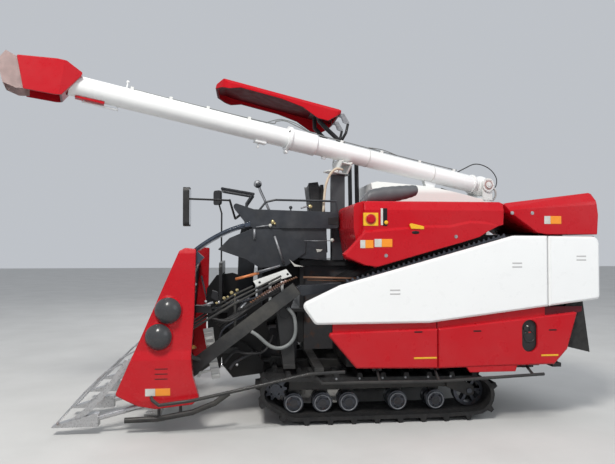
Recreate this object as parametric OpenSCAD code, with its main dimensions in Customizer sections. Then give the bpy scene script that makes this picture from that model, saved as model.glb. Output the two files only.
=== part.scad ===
// Combine harvester on rubber tracks, three rows, parked with its grain auger in the cradle.
// Millimetres. +X forward, +Y left, +Z up. Origin on the ground below the middle of the machine.

/* [Overall] */
// half of the overall length
half_len = 2245; // [2240:1:2260]
// half of the overall width
half_w = 927.4; // [926:0.1:930]

/* [Tracks] */
// distance between the middles of the two tracks
track_gauge = 1080; // [1040:5:1160]
// width of one rubber track
track_w = 400; // [340:10:420]
// thickness of the rubber belt without lugs
belt_t = 28; // [20:1:32]
// height of a lug above the belt
lug_h = 32; // [20:1:36]
// nominal distance between two lugs along the belt
lug_pitch = 90; // [80:5:110]
// radius of a bottom roller
roller_r = 74.3; // [60:0.1:74.4]
// height of the drive sprocket shaft
sprocket_z = 235; // [220:1:245]

/* [Body] */
// outer face of the left covers
side_y = 845; // [830:1:870]
// top of the chassis outriggers
deck_z = 430; // [428:1:440]
// thickness of the left covers
cover_t = 42; // [30:1:44]
// height of the operator floor
floor_z = 790; // [770:5:810]

/* [Header] */
// lift shaft of the header, distance forward
lift_x = 150; // [140:1:160]
// lift shaft of the header, height
lift_z = 820; // [800:1:840]
// distance between two crop rows
row_pitch = 520; // [500:5:530]
// left divider, distance from the middle
divider_y = 800; // [790:1:810]
// distance between two raising fingers
tine_pitch = 190; // [150:5:240]

/* [Grain auger] */
// middle of the swing axis, distance backward
auger_x = 1817; // [1800:1:1830]
// middle of the swing axis, distance to the right
auger_y = 428; // [420:1:440]
// height of the lift pivot
auger_z = 1900; // [1890:1:1915]
// direction of the parked tube, degrees to the left of straight ahead
auger_yaw = 15; // [13:0.5:17]
// slope of the parked tube
auger_pitch = 9.7; // [9:0.1:10.5]
// radius of the rear tube
auger_r = 80; // [74:1:80]
// length from the lift pivot to the hood
auger_len = 3676; // [3640:1:3680]

/* [Canopy] */
// slope of the canopy, up to the front
canopy_tilt = 13.7; // [12:0.1:15]

/* [Hidden] */
$fn = 48;
ty = track_gauge / 2;
tin = ty - track_w / 2;
tout = ty + track_w / 2;
gz = belt_t + lug_h;
axle_z = gz + 75;
// inner path of the belt as circles: distance forward, height, radius
track_path = [
  [-1020, axle_z, 75],
  [80, axle_z, 75],
  [215, sprocket_z, 90],
  [-1300, gz + 130, 120]
];
roller_x = [80, -140, -340, -720, -1020];
// inner path of the feed chain
chain_path = [
  [-1500, 1345, 40],
  [-1500, 1343, 40],
  [-330, 1010, 40]
];
row_y = [for (i = [0:2]) divider_y - row_pitch / 2 - i * row_pitch];
case_y = [for (i = [0:2]) divider_y - 120 - i * row_pitch];
hood_z = 1200;
// swing hinge of the straw cutter: distance forward, distance left
cutter_hinge = [-2000, 38];
cutter_knuckles = [1010, 1230];
// hinge of the engine door: distance forward, distance left
door_hinge = [-645, -822];
door_knuckles = [540, 960];
pivot_y = tin - 40;
// ends of the auger's lift cylinder from the lift pivot: distance ahead, height
lift_base = [160, -130];
lift_eye = [571.4, -19];
cyl_base = [210, 400];
cyl_eye = [670, 370];
// lower and upper cross tubes of the header: distance forward, height
beam = [980, 250];
rail = [905, 1150];
panel_y = side_y - 62;
strut_y = panel_y - 17;
tank_back = auger_x - 130;
hood_w = 130;
// farthest point of the hood curtain along the tube, worked back from the overall length
curtain_s = ((half_len + auger_x - (hood_w - 8) * sin(auger_yaw)) / cos(auger_yaw) + 20 * sin(auger_pitch))
  / cos(auger_pitch);

// shared forms

module side(y0, y1) {
  translate([0, y1, 0]) rotate([90, 0, 0]) linear_extrude(y1 - y0) children();
}

module front(x0, x1) {
  translate([x0, 0, 0]) rotate([90, 0, 90]) linear_extrude(x1 - x0) children();
}

module plan(z0, z1) {
  translate([0, 0, z0]) linear_extrude(z1 - z0) children();
}

module box(x0, x1, y0, y1, z0, z1) {
  translate([x0, y0, z0]) cube([x1 - x0, y1 - y0, z1 - z0]);
}

module rod(a, b, r, r2 = -1) {
  d = b - a;
  l = norm(d);
  translate(a) rotate([0, acos(d[2] / l), atan2(d[1], d[0])])
    rotate(23) cylinder(h = l, r1 = r, r2 = r2 < 0 ? r : r2);
}

module pipe(pts, r) {
  for (i = [0:len(pts) - 2]) rod(pts[i], pts[i + 1], r);
  for (i = [1:len(pts) - 2]) translate(pts[i]) rotate([25, 40, 0]) sphere(r + 0.4);
}

// round bar across the machine
module bar(x, z, r, y0, y1) {
  translate([x, y1, z]) rotate([90, 0, 0]) cylinder(h = y1 - y0, r = r);
}

function unit(v) = v / norm(v);

// points of a bow from a to c that leans towards b
function bow(a, b, c, n) = [
  for (k = [0:n]) let (t = k / n) a * pow(1 - t, 2) + 2 * b * t * (1 - t) + c * t * t
];

// corner points of a polygon, rounded: each row is x, z, radius
function rounded(p, n = 4) = [
  for (i = [0:len(p) - 1])
    let (
      a = p[(i + len(p) - 1) % len(p)],
      b = p[i],
      c = p[(i + 1) % len(p)],
      u = unit([a[0] - b[0], a[1] - b[1]]),
      v = unit([c[0] - b[0], c[1] - b[1]]),
      h = acos(u * v) / 2,
      t = b[2] / tan(h),
      m = [b[0], b[1]] + unit(u + v) * b[2] / sin(h),
      s = [b[0], b[1]] + u * t - m,
      e = [b[0], b[1]] + v * t - m,
      a0 = atan2(s[1], s[0]),
      d0 = atan2(e[1], e[0]) - a0,
      d = d0 > 180 ? d0 - 360 : (d0 < -180 ? d0 + 360 : d0)
    )
    for (k = b[2] > 0 ? [0:n] : [0:0])
      b[2] > 0 ? m + b[2] * [cos(a0 + d * k / n), sin(a0 + d * k / n)] : [b[0], b[1]]
];

// direction of the straight run after circle i, as its outward angle
function turn(c, i) =
  let (
    p = c[i % len(c)],
    q = c[(i + 1) % len(c)],
    d = [q[0] - p[0], q[1] - p[1]]
  )
  atan2(d[1], d[0]) - acos((p[2] - q[2]) / norm(d));

function wrap(a) = a - 360 * floor(a / 360);

function loop_pts(c, off) = [
  for (i = [0:len(c) - 1])
    let (
      a0 = turn(c, i + len(c) - 1),
      sp = wrap(turn(c, i) - a0),
      n = max(1, ceil(sp / 14))
    )
    for (k = [0:n])
      [c[i][0] + (c[i][2] + off) * cos(a0 + sp * k / n),
       c[i][1] + (c[i][2] + off) * sin(a0 + sp * k / n)]
];

function arc_len(c, off, i) =
  (c[i][2] + off) * wrap(turn(c, i) - turn(c, i + len(c) - 1)) * PI / 180;

function run_len(c, i) =
  let (p = c[i], q = c[(i + 1) % len(c)])
  sqrt(pow(q[0] - p[0], 2) + pow(q[1] - p[1], 2) - pow(p[2] - q[2], 2));

function loop_len(c, off, i = 0) =
  i >= len(c) ? 0 : arc_len(c, off, i) + run_len(c, i) + loop_len(c, off, i + 1);

// place at length s along the loop: x, z, outward angle
function loop_at(c, off, s, i = 0) =
  let (
    a = arc_len(c, off, i),
    l = run_len(c, i),
    a0 = turn(c, i + len(c) - 1),
    n = turn(c, i),
    r = c[i][2] + off
  )
  s <= a
  ? let (w = a0 + s / r * 180 / PI)
    [c[i][0] + r * cos(w), c[i][1] + r * sin(w), w]
  : s <= a + l
  ? [c[i][0] + r * cos(n) - (s - a) * sin(n), c[i][1] + r * sin(n) + (s - a) * cos(n), n]
  : loop_at(c, off, s - a - l, (i + 1) % len(c));

// outline of a loop with teeth: only teeth whose number leaves a listed rest by 2 stand out
function toothed(c, off, h, w0, w1, count, rests) = [
  for (k = [0:count - 1])
    let (
      l = loop_len(c, off),
      p = loop_at(c, off, l * (k + 0.5) / count - w0 / 2),
      q = loop_at(c, off, l * (k + 0.5) / count + w0 / 2),
      m = loop_at(c, off, l * (k + 0.5) / count),
      n = [cos(m[2]), sin(m[2])],
      t = [-sin(m[2]), cos(m[2])],
      up = len([for (r = rests) if (k % 2 == r) r]) > 0
    )
    each concat(
      [[p[0], p[1]]],
      up ? [[m[0], m[1]] + n * h - t * w1 / 2, [m[0], m[1]] + n * h + t * w1 / 2] : [],
      [[q[0], q[1]]]
    )
];

module toothed_ring(c, off, h, w0, w1, count, rests) {
  difference() {
    polygon(toothed(c, off, h, w0, w1, count, rests));
    polygon(loop_pts(c, 0));
  }
}

// cover with a bevelled outer rim, outer face towards the left
module cover(p, y0, y1, bevel) {
  q = rounded(p);
  hull() {
    side(y0, y1 - bevel) polygon(q);
    side(y0, y1) offset(delta = -bevel) polygon(q);
  }
}

module placed_auger() {
  translate([-auger_x, -auger_y, auger_z]) rotate([0, 0, auger_yaw]) rotate([0, -auger_pitch, 0])
    children();
}

module placed_canopy() {
  translate([-420, 0, 2520]) rotate([0, -canopy_tilt, 0]) children();
}

module placed_turret() {
  translate([-auger_x, -auger_y, 0]) rotate([0, 0, auger_yaw]) children();
}

module both_sides() {
  children();
  mirror([0, 1, 0]) children();
}

// running gear

module track_body() {
  n = 2 * round(loop_len(track_path, belt_t) / lug_pitch / 2);
  side(tin, ty - 20) toothed_ring(track_path, belt_t, lug_h, 46, 30, n, [0]);
  side(ty - 20, ty + 20) toothed_ring(track_path, belt_t, lug_h, 46, 30, n, [0, 1]);
  side(ty + 20, tout) toothed_ring(track_path, belt_t, lug_h, 46, 30, n, [1]);
}

module track_frame_body() {
  difference() {
    union() {
      box(-1175, 110, ty - 35, ty + 35, 222, 300);
      for (x = roller_x) side(ty - 11, ty + 11) polygon([[x - 50, 230], [x - 30, 100], [x + 30, 100],
        [x + 36, 230]]);
      for (d = [-1, 1]) side(ty + d * 52 - 6, ty + d * 52 + 6)
        polygon([[-1340, 160], [-1300, 150], [-1120, 222], [-1120, 300], [-1200, 300], [-1340, 225]]);
      for (d = [-1, 1]) box(-1180, -1125, min(ty + d * 35, ty + d * 58), max(ty + d * 35, ty + d * 58),
        230, 292);
    }
    for (x = roller_x) bar(x, axle_z, 20.3, ty - 60, ty + 60);
    bar(-1300, gz + 130, 20.3, ty - 90, ty + 90);
  }
  for (x = [-850, -120]) box(x - 45, x + 45, 200, ty - 35, 232, 290);
}

module roller_body() {
  for (x = roller_x) {
    for (d = [-1, 1]) bar(x, axle_z, roller_r, ty + d * 48 - 30, ty + d * 48 + 30);
    bar(x, axle_z, 20, ty - 90, ty + 90);
    bar(x, axle_z, 34, ty + 78, ty + 92);
  }
}

module sprocket_gear() {
  difference() {
    union() {
      circle(66);
      for (k = [0:9]) rotate(k * 36) polygon([[0, -16], [60, -16], [88.6, -7], [88.6, 7], [60, 16], [0, 16]]);
    }
    for (k = [0:4]) rotate(k * 72 + 18) translate([44, 0]) circle(10);
  }
}

module sprocket_set() {
  side(ty - 25, ty + 25) translate([215, sprocket_z]) sprocket_gear();
  bar(215, sprocket_z, 40, tin - 4.7, ty + 45);
}

module idler_body() {
  side(ty - 34, ty + 34) translate([-1300, gz + 130]) {
    difference() {
      circle(118.8);
      circle(94);
    }
    circle(34);
    for (k = [0:5]) rotate(k * 60) translate([0, -11]) square([100, 22]);
  }
  bar(-1300, gz + 130, 20, ty - 66, ty + 66);
}

module track_left() color([0.1, 0.1, 0.1]) track_body();
module track_right() color([0.1, 0.1, 0.1]) mirror([0, 1, 0]) track_body();
module track_frame_left() color([0.2, 0.2, 0.2]) track_frame_body();
module track_frame_right() color([0.2, 0.2, 0.2]) mirror([0, 1, 0]) track_frame_body();
module wheel_set() {
  roller_body();
  sprocket_set();
  idler_body();
}

module track_wheels_left() color([0.25, 0.25, 0.25]) wheel_set();
module track_wheels_right() color([0.25, 0.25, 0.25]) mirror([0, 1, 0]) wheel_set();

module transmission() color([0.35, 0.35, 0.37]) {
  side(-190, 190) polygon(rounded([[20, 300, 20], [60, 170, 40], [300, 170, 60], [335, 300, 40], [300, 520, 30],
    [240, 640, 20], [20, 640, 20]]));
  for (s = [-1, 1]) bar(215, sprocket_z, 50, s > 0 ? 190 : 5 - tin, s > 0 ? tin - 5 : -190);
  box(60, 260, -200, 200, 300, 380);
}

module chassis_form() {
  both_sides() box(-2000, 420, 200, 260, 290, 390);
  for (x = [-1960, -1720, -1360, -1000, -560, -130]) {
    box(x, x + 70, -790, 780, 400, deck_z);
    both_sides() box(x, x + 70, 200, 260, 389, 401);
  }
  box(-1990, -1930, -200, 200, 300, 380);
  box(-600, -540, -200, 200, 300, 380);
  box(340, 420, -780, 60, 389, deck_z);
  box(70, 160, 200, 650, 400, deck_z);
  box(40, 110, -780, -192, 400, deck_z);
  both_sides() box(70, 110, 200, 260, 389, 401);
  difference() {
    for (y = [195, 602]) side(y, y + 35) polygon(rounded([[70, 410, 0], [160, 410, 0], [lift_x + 62,
      lift_z + 10, 30],
      [lift_x + 40, lift_z + 62, 40], [lift_x - 40, lift_z + 62, 40], [lift_x - 62, lift_z + 10, 30]]));
    bar(lift_x, lift_z, 40.3, 180, 650);
  }
  difference() {
    for (d = [-36, 29]) side(pivot_y + d, pivot_y + d + 7) polygon([[150, 405], [160, 360], [245, 360],
      [250, 400],
      [235, 440], [150, 440]]);
    bar(cyl_base[0], cyl_base[1], 14, pivot_y - 60, pivot_y + 60);
  }
  bar(cyl_base[0], cyl_base[1], 15, pivot_y - 40, pivot_y + 40);
}

// lugs at the rear of the frame, for tying down
module tow_eyes() color([0.16, 0.16, 0.17]) {
  for (s = [-1, 1]) difference() {
    side(s * 230 - 12, s * 230 + 12) polygon([[-2000, 300], [-2000, 380], [-2060, 380], [-2090, 340],
      [-2060, 300]]);
    bar(-2052, 340, 17, s * 230 - 40, s * 230 + 40);
  }
}

// thresher side

module housing_form() {
  difference() {
    side(60, 760) polygon([[-300, deck_z], [-300, 1050], [-520, 1160], [-960, 1285], [-1240, 1396], [-1478,
      1410],
      [-1990, 1410], [-1990, 900], [-1940, deck_z]]);
    side(700, 800) polygon([[-240, 930], [-1560, 1250], [-1610, 1445], [-1478, 1521], [-240, 1170]]);
  }
}

module thresher_housing() color([0.18, 0.18, 0.19]) {
  housing_form();
  cutter_hinge_form();
  chain_rail_form();
  cover_rail_form();
}

// lower panel of the drum cover: distance forward, lower edge, crease
drum_rows = [
  [-428, 1181, 1437], [-516, 1169, 1445], [-630, 1201, 1455], [-890, 1274, 1477], [-1065, 1322, 1477],
  [-1224, 1367, 1512], [-1293, 1388, 1508], [-1358, 1429, 1504], [-1440, 1469, 1478]
];

module drum_panel() {
  for (i = [0:len(drum_rows) - 2]) {
    a = drum_rows[i];
    b = drum_rows[i + 1];
    hull() {
      side(side_y - 25, side_y - 17) polygon([[a[0], a[1]], [b[0], b[1]], [b[0], b[2]], [a[0], a[2]]]);
      side(side_y - 25, side_y) polygon([[a[0], a[1] + 3], [b[0], b[1] + 3], [b[0], max(b[1] + 4,
        b[2] - 18)], [a[0], a[2] - 18]]);
    }
  }
  hull() {
    side(side_y - 25, side_y - 17) polygon([[-428, 1181], [-280, 1240], [-266, 1262], [-389, 1374], [-428,
      1437]]);
    side(side_y - 25, side_y) polygon([[-428, 1184], [-290, 1245], [-282, 1260], [-398, 1366], [-428, 1419]]);
  }
}

module drum_cover() color([0.75, 0.05, 0.08]) {
  side(40, 762) polygon([[-356, 1456], [-400, 1210], [-520, 1160], [-960, 1285], [-1240, 1396], [-1478,
    1521], [-1480, 1640],
    [-1455, 1656], [-420, 1656], [-370, 1640], [-356, 1616]]);
  intersection() {
    side(762, side_y - 17) polygon([[-266, 1262], [-280, 1240], [-428, 1181], [-516, 1169], [-887, 1273],
      [-1151, 1345],
      [-1293, 1388], [-1409, 1461], [-1485, 1483], [-1493, 1641], [-1470, 1656], [-450, 1656], [-428,
        1640], [-415, 1446],
      [-389, 1374]]);
    front(-1600, -200) polygon([[750, 1100], [side_y, 1100], [side_y, 1565], [side_y - 17, 1588],
      [side_y - 45, 1646],
      [side_y - 58, 1656], [750, 1656]]);
  }
  drum_panel();
}

module feed_chain() color([0.1, 0.1, 0.1]) {
  n = round(loop_len(chain_path, 14) / 40);
  side(770, 792) toothed_ring(chain_path, 14, 18, 24, 8, n, [0, 1]);
}

module cutter_hinge_form() {
  for (z = cutter_knuckles) {
    translate([cutter_hinge[0], cutter_hinge[1], z]) cylinder(h = 42, r = 14);
    box(cutter_hinge[0], -1950, cutter_hinge[1] - 6, 61, z, z + 42);
    translate([cutter_hinge[0], cutter_hinge[1], z + 41]) cylinder(h = 39, r = 6);
  }
}

module chain_rail_form() {
  ends = [chain_path[0], chain_path[2]];
  side(762, 766) polygon([[-1500, 1315], [-330, 980], [-330, 1040], [-1500, 1375]]);
  side(765, 788) polygon([[-1480, 1328], [-350, 1005], [-346, 1027], [-1484, 1352]]);
  for (p = ends) {
    bar(p[0], p[1], 39.4, 765, 794);
    bar(p[0], p[1], 20, 700, 763);
  }
}

module side_cover_upper() color([0.93, 0.93, 0.92]) {
  cover([[45, 900, 40], [-60, 752, 40], [-910, 755, 10], [-1830, 868, 4], [-1830, 1400, 4], [-1560, 1400, 60],
    [-542, 1114, 0], [-240, 1035, 40]], side_y - cover_t, side_y, 14);
}

module side_cover_rear() color([0.93, 0.93, 0.92]) {
  cover([[-1837, 869, 4], [-half_len, 920, 30], [-half_len, 1396, 60], [-1837, 1400, 4]],
    side_y - cover_t, side_y, 14);
}

// the band above each lower cover lies deeper and carries the white cover
module side_cover_lower_front() color([0.75, 0.05, 0.08]) {
  cover([[-140, 690, 20], [-360, 430, 20], [-972, 419, 2], [-972, 711, 2]], side_y - cover_t - 6,
    side_y - 6, 10);
  side(760, side_y - cover_t) polygon([[-190, 690], [-972, 700], [-972, 795], [-190, 795]]);
}

module side_cover_lower_rear() color([0.75, 0.05, 0.08]) {
  difference() {
    cover([[-978, 711, 2], [-978, 419, 2], [-1877, 432, 20], [-1982, 544, 20], [-2064, 822, 10]],
      side_y - cover_t - 6, side_y - 6, 10);
    side(side_y - 80, side_y + 10) {
      for (z = [588, 706]) translate([-1682, z]) circle(61);
      translate([-1743, 588]) square([122, 118]);
    }
  }
  side(760, side_y - cover_t) polygon([[-978, 700], [-1700, 770], [-1820, 780], [-1820, 905], [-978, 795]]);
  side(786, side_y - cover_t - 6) polygon([[-1820, 760], [-2040, 800], [-2118, 822], [-2125, 862], [-1820,
    862]]);
}

module side_lamp() color([0.08, 0.08, 0.08]) {
  side(side_y - cover_t - 6, side_y - 26) {
    for (z = [588, 706]) translate([-1682, z]) circle(60);
    translate([-1742, 588]) square([120, 118]);
  }
  for (x = [-1660, -1704]) bar(x, 700, 19, side_y - 27, side_y - 18);
}

// strips that carry the lower covers on the housing
module cover_rail_form() {
  side(760, side_y - cover_t - 6) polygon([[-420, 436], [-1870, 436], [-1870, 470], [-420, 470]]);
  side(760, side_y - cover_t - 6) polygon([[-260, 640], [-1960, 640], [-1960, 685], [-260, 685]]);
}

module straw_cover() color([0.75, 0.05, 0.08]) {
  hull() {
    side(40, side_y) polygon([[-1525, 1592], [-1535, 1575], [-1748, 1424], [-1832, 1412], [-2222, 1412],
      [-2231, 1559],
      [-2221, 1640], [-1651, 1592]]);
    side(42, side_y - 12) polygon([[-1516, 1612], [-1531, 1574], [-1748, 1423], [-1832, 1410], [-2224,
      1410], [-2234, 1559],
      [-2222, 1668], [-1640, 1612]]);
    side(50, side_y - 62) polygon([[-1512, 1640], [-1520, 1574], [-2222, 1500], [-2212, 1725], [-2190,
      1733], [-1530, 1650]]);
  }
}

module straw_cutter() color([0.2, 0.2, 0.21]) {
  difference() {
    side(60, side_y - cover_t) polygon(rounded([[-2000, 930, 10], [-2212, 930, 20], [-2224, 1400, 10],
      [-2000, 1400, 10]]));
    box(-2300, -2180, 120, 740, 980, 1300);
  }
  for (y = [130, 260, 400, 540, 680]) box(-2210, -2179, y - 5, y + 5, 979, 1301);
  difference() {
    for (z = cutter_knuckles) {
      translate([cutter_hinge[0], cutter_hinge[1], z + 42.3]) cylinder(h = 36, r = 14);
      box(-2040, cutter_hinge[0], cutter_hinge[1] - 6, 61, z + 42.3, z + 78.3);
    }
    translate([cutter_hinge[0], cutter_hinge[1], 900]) cylinder(h = 500, r = 6.3);
  }
}

module rear_flap() color([0.07, 0.07, 0.07]) {
  difference() {
    side(90, 780) polygon([[-2002, 930], [-2135, 930], [-2192, 507], [-1990, 556]]);
    side(98, 772) polygon([[-1970, 960], [-2122, 960], [-2181, 480], [-1970, 480]]);
  }
}

module return_duct() color([0.3, 0.3, 0.31]) {
  side(240, 360) polygon(concat(
    bow([-548, 1656], [-678, 1922], [-975, 1770], 10),
    bow([-917, 1738], [-720, 1800], [-640, 1656], 8)
  ));
}

// tank, engine and operator place

module grain_tank() color([0.9, 0.9, 0.88]) {
  intersection() {
    side(-800, 30) polygon([[-660, 800], [-900, 560], [-tank_back, 560], [-tank_back, auger_z - 200],
      [30 - tank_back, auger_z - 162], [620 - auger_x, auger_z - 50], [-720, auger_z - 4], [-660,
        auger_z - 20]]);
    front(-1800, -600) polygon(rounded([[30, 760, 20], [30, 1810, 60], [-60, 1900, 60], [-720, 1900, 60],
      [-800, 1800, 60], [-800, 760, 20], [-650, 560, 20], [-250, 560, 20]]));
  }
  box(80 - tank_back, 160 - tank_back, -700, -200, deck_z, 570);
  box(-980, -920, -700, -200, deck_z, 640);
}

module auger_vertical() color([0.88, 0.88, 0.86]) {
  translate([-auger_x, -auger_y, 470]) cylinder(h = auger_z - 145 - 470, r = 90);
  translate([-auger_x, -auger_y, deck_z]) cylinder(h = 60, r = 120);
  rod([-tank_back, -auger_y, 640], [-auger_x, -auger_y, 640], 80);
  for (z = [1000, 1560]) box(-tank_back - 80, -tank_back, -auger_y - 70, -auger_y + 70, z, z + 50);
  translate([-auger_x, -auger_y, auger_z - 175]) cylinder(h = 30, r = 122);
}

module auger_turret() color([0.88, 0.88, 0.86]) placed_turret() {
  translate([0, 0, auger_z - 144.7]) cylinder(h = 24.7, r = 124);
  difference() {
    for (s = [-1, 1]) side(s * 114 - 8, s * 114 + 8) {
      translate([0, auger_z]) circle(62);
      polygon([[-50, auger_z - 144], [-60, auger_z], [60, auger_z], [50, auger_z - 144]]);
    }
    bar(0, auger_z, 20.3, -140, 140);
  }
  bar(0, auger_z, 66, 122, 136);
  bar(0, auger_z, 30, 135, 144);
  translate([0, 0, auger_z]) difference() {
    for (s = [-1, 1]) side(s * 30 - 5, s * 30 + 5) polygon([[60, -144], [60, -121], [130, -100], [176,
      -100], [186, -130],
      [170, -156], [135, -156], [124, -144]]);
    bar(lift_base[0], lift_base[1], 11, -50, 50);
  }
  bar(lift_base[0], auger_z + lift_base[1], 12, -38, 38);
}

// end of the knuckle, end of the rear tube and end of the clamp, along the tube
tube_marks = [114, 1753, 2013];

module tube_round(a, b, r) {
  translate([a, 0, 0]) rotate([0, 90, 0]) rotate(35) cylinder(h = b - a, r = r);
}

// knuckle that turns on the lift pivot
module tube_knuckle() {
  tube_round(0, tube_marks[0], auger_r);
  tube_round(tube_marks[0] - 14, tube_marks[0], 92);
  rotate([20, 0, 40]) sphere(r = 98);
  bar(0, 0, 20, -121.5, 121.5);
}

// lugs of the lift cylinder and a bracket below the rear tube
module tube_lugs() {
  difference() {
    union() {
      for (s = [-1, 1]) side(s * 18 - 4, s * 18 + 4) polygon([[500, -70], [520, -138], [600, -138],
        [640, -70]]);
      side(-6, 6) polygon([[1620, -70], [1635, -102], [1665, -102], [1680, -70]]);
    }
    tube_round(400, 1700, auger_r + 0.3);
  }
}

// front tube with the clamp that holds it on the rear one
module tube_front() {
  clamp = tube_marks[2];
  tip = auger_len + 77;
  rotate([0, 90, 0]) rotate(35) rotate_extrude()
    polygon([[0, tube_marks[1]], [93, tube_marks[1]], [93, clamp - 30], [105, clamp - 30], [105, clamp],
      [81, clamp], [81, tip], [72, tip], [72, tip - 137], [0, tip - 137]]);
  side(-20, 20) polygon([[1988, -90], [2008, -90], [2008, -128], [1988, -128]]);
  bar(1998, -112, 16, -26, 26);
  side(-34, 34) polygon([[2187, -70], [2284, -70], [2284, -97], [2187, -97]]);
  side(-8, 8) polygon([[2240, -90], [2256, -90], [2256, -138], [2240, -138]]);
  rod([3383, 0, -105], [3648, 0, -105], 8);
  for (x = [3390, 3632]) side(-7, 7) polygon([[x, -75], [x + 10, -75], [x + 10, -107], [x, -107]]);
  rod([3351, 0, 76], [3351, 0, 124], 6);
  translate([3351, 0, 130]) sphere(12);
}

module auger_tube() color([0.94, 0.94, 0.93]) placed_auger() {
  tube_knuckle();
  tube_round(tube_marks[0] + 0.3, tube_marks[1] - 0.3, auger_r);
  tube_lugs();
  tube_front();
}

module auger_hood() color([0.75, 0.05, 0.08]) placed_auger() difference() {
  intersection() {
    translate([auger_len, 0]) side(-hood_w, hood_w) polygon(rounded([[0, 85, 10], [6, 59, 10], [112, -119,
      20], [153, -128, 10],
      [362, -140, 10], [445, 87, 10], [183, 134, 40], [118, 136, 20]]));
    plan(-200, 200) polygon([[auger_len - 5, -98], [auger_len + 130, -hood_w], [auger_len + 500, -hood_w],
      [auger_len + 500, hood_w], [auger_len + 130, hood_w], [auger_len - 5, 98]]);
  }
  intersection() {
    translate([auger_len, 0]) side(8 - hood_w, hood_w - 8) polygon([[13, 63], [14, 79], [119, 127], [182,
      126], [504, 68],
      [470, -180], [156, -176], [119, -115]]);
    plan(-300, 300) polygon([[auger_len, -91], [auger_len + 132, 8 - hood_w], [auger_len + 600, 8 - hood_w],
      [auger_len + 600, hood_w - 8], [auger_len + 132, hood_w - 8], [auger_len, 91]]);
  }
  rotate([0, 90, 0]) rotate(35) cylinder(h = auger_len + 140, r = 81.3);
}

// flexible curtain that hangs in front of the hood, open at the bottom and towards the hood
module hood_curtain() color([0.8, 0.72, 0.7]) placed_auger() difference() {
  w = hood_w - 8;
  m = auger_len;
  side(-w, w) polygon([[m + 374, 70], [m + 443, 78], [curtain_s - 42, 102], [curtain_s, 20], [m + 500, -126],
    [m + 409, -146], [m + 340, -130]]);
  side(4 - w, w - 4) polygon([[m + 300, 66], [m + 444, 74], [curtain_s - 44, 97], [curtain_s - 5, 19],
    [m + 494, -130],
    [m + 490, -180], [m + 300, -180]]);
}

module auger_cylinder_barrel() color([0.2, 0.2, 0.2]) placed_turret() translate([0, 0, auger_z]) {
  b = [lift_base[0], 0, lift_base[1]];
  u = unit([lift_eye[0], 0, lift_eye[1]] - b);
  difference() {
    union() {
      rod(b, b + u * 290, 24);
      bar(b[0], b[2], 22, -20, 20);
    }
    rod(b + u * 40, b + u * 300, 11.3);
    bar(b[0], b[2], 12.3, -30, 30);
  }
}

module auger_cylinder_rod() color([0.8, 0.8, 0.8]) placed_turret() translate([0, 0, auger_z]) {
  b = [lift_base[0], 0, lift_base[1]];
  e = [lift_eye[0], 0, lift_eye[1]];
  u = unit(e - b);
  rod(b + u * 60, e - u * 8, 11);
  bar(e[0], e[2], 20, -13.7, 13.7);
}

module auger_saddle() color([0.9, 0.9, 0.88]) {
  placed_auger() {
    for (s = [1415, 1505]) translate([s, 0, 0]) rotate([90, 0, 90]) linear_extrude(10)
      {
        polygon([[104, -104], [104, -92], [0, -auger_r - 0.3], [-50, -auger_r - 0.3], [-112, -110], [-50, -192],
          [40, -192]]);
        polygon([[-93, -100.5], [-93, -60], [-96, 12], [-112, 12], [-112, -109.6]]);
      }
    box(1424, 1506, -92, 90, -112, -100);
    box(1405, 1600, -78, 50, -202, -190);
  }
  side(-100, -56) polygon([[-428, hood_z], [-304, hood_z], [-304, 1971], [-428, 1950]]);
}

module engine() color([0.3, 0.3, 0.31]) {
  box(-600, -60, -770, -20, deck_z, 1150);
}

module engine_cover_form() {
  box(-640, -20, -800, 20, 1150, hood_z);
  box(-58, -20, -800, 20, floor_z, 1150);
  box(-655, -602, -800, -720, 480, 1151);
  for (z = door_knuckles) {
    translate([door_hinge[0], door_hinge[1], z]) cylinder(h = 32, r = 12);
    box(door_hinge[0] - 6, door_hinge[0] + 6, door_hinge[1], -799, z, z + 32);
    translate([door_hinge[0], door_hinge[1], z + 31]) cylinder(h = 33, r = 5);
  }
}

module engine_door() color([0.12, 0.12, 0.13]) {
  difference() {
    hull() {
      box(-632, -30, -835, -806, 470, 1140);
      box(-615, -47, -845, -806, 487, 1123);
    }
    box(-570, -92, -860, -780, 560, 1060);
  }
  for (k = [0:11]) box(-575, -87, -832, -820, 590 + k * 38, 604 + k * 38);
  difference() {
    for (z = door_knuckles) {
      translate([door_hinge[0], door_hinge[1], z + 32.3]) cylinder(h = 30, r = 12);
      box(door_hinge[0], -630, -828, -814, z + 32.3, z + 62.3);
    }
    translate([door_hinge[0], door_hinge[1], 500]) cylinder(h = 600, r = 5.3);
  }
}

module platform_form() {
  difference() {
    plan(floor_z - 30, floor_z) polygon(rounded([[-58, 60, 0], [-58, -800, 0], [-20, -800, 0], [-20, -830, 0],
      [640, -830, 120], [700, -700, 60], [700, 0, 60], [640, 60, 20]]));
    box(300, 500, -860, -780, 700, 900);
  }
  for (y = [-740, -60]) box(350, 410, y - 30, y + 30, deck_z, floor_z - 29);
  box(-57, 0, -790, -20, deck_z + 60, floor_z - 29);
}

module platform_front_form() {
  difference() {
    front(640, 668) polygon(rounded([[-760, floor_z, 0], [20, floor_z, 0], [20, 1180, 60], [-760, 1180, 60]]));
    box(600, 700, -560, -180, floor_z + 120, 1080);
  }
}

module step_form() {
  box(250, 560, -half_w, -832, 440, 452);
  for (x = [250, 548]) box(x, x + 12, -850, -832, 440, 792);
  for (x = [250, 540]) box(x, x + 20, -850, -790, 750, 760);
}

module platform() color([0.2, 0.2, 0.21]) {
  engine_cover_form();
  platform_form();
  platform_front_form();
  step_form();
}

module fuel_tank() color([0.1, 0.1, 0.1]) {
  side(-700, -300) polygon(rounded([[20, deck_z, 30], [330, deck_z, 30], [330, 740, 30], [20, 740, 30]]));
}

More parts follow.
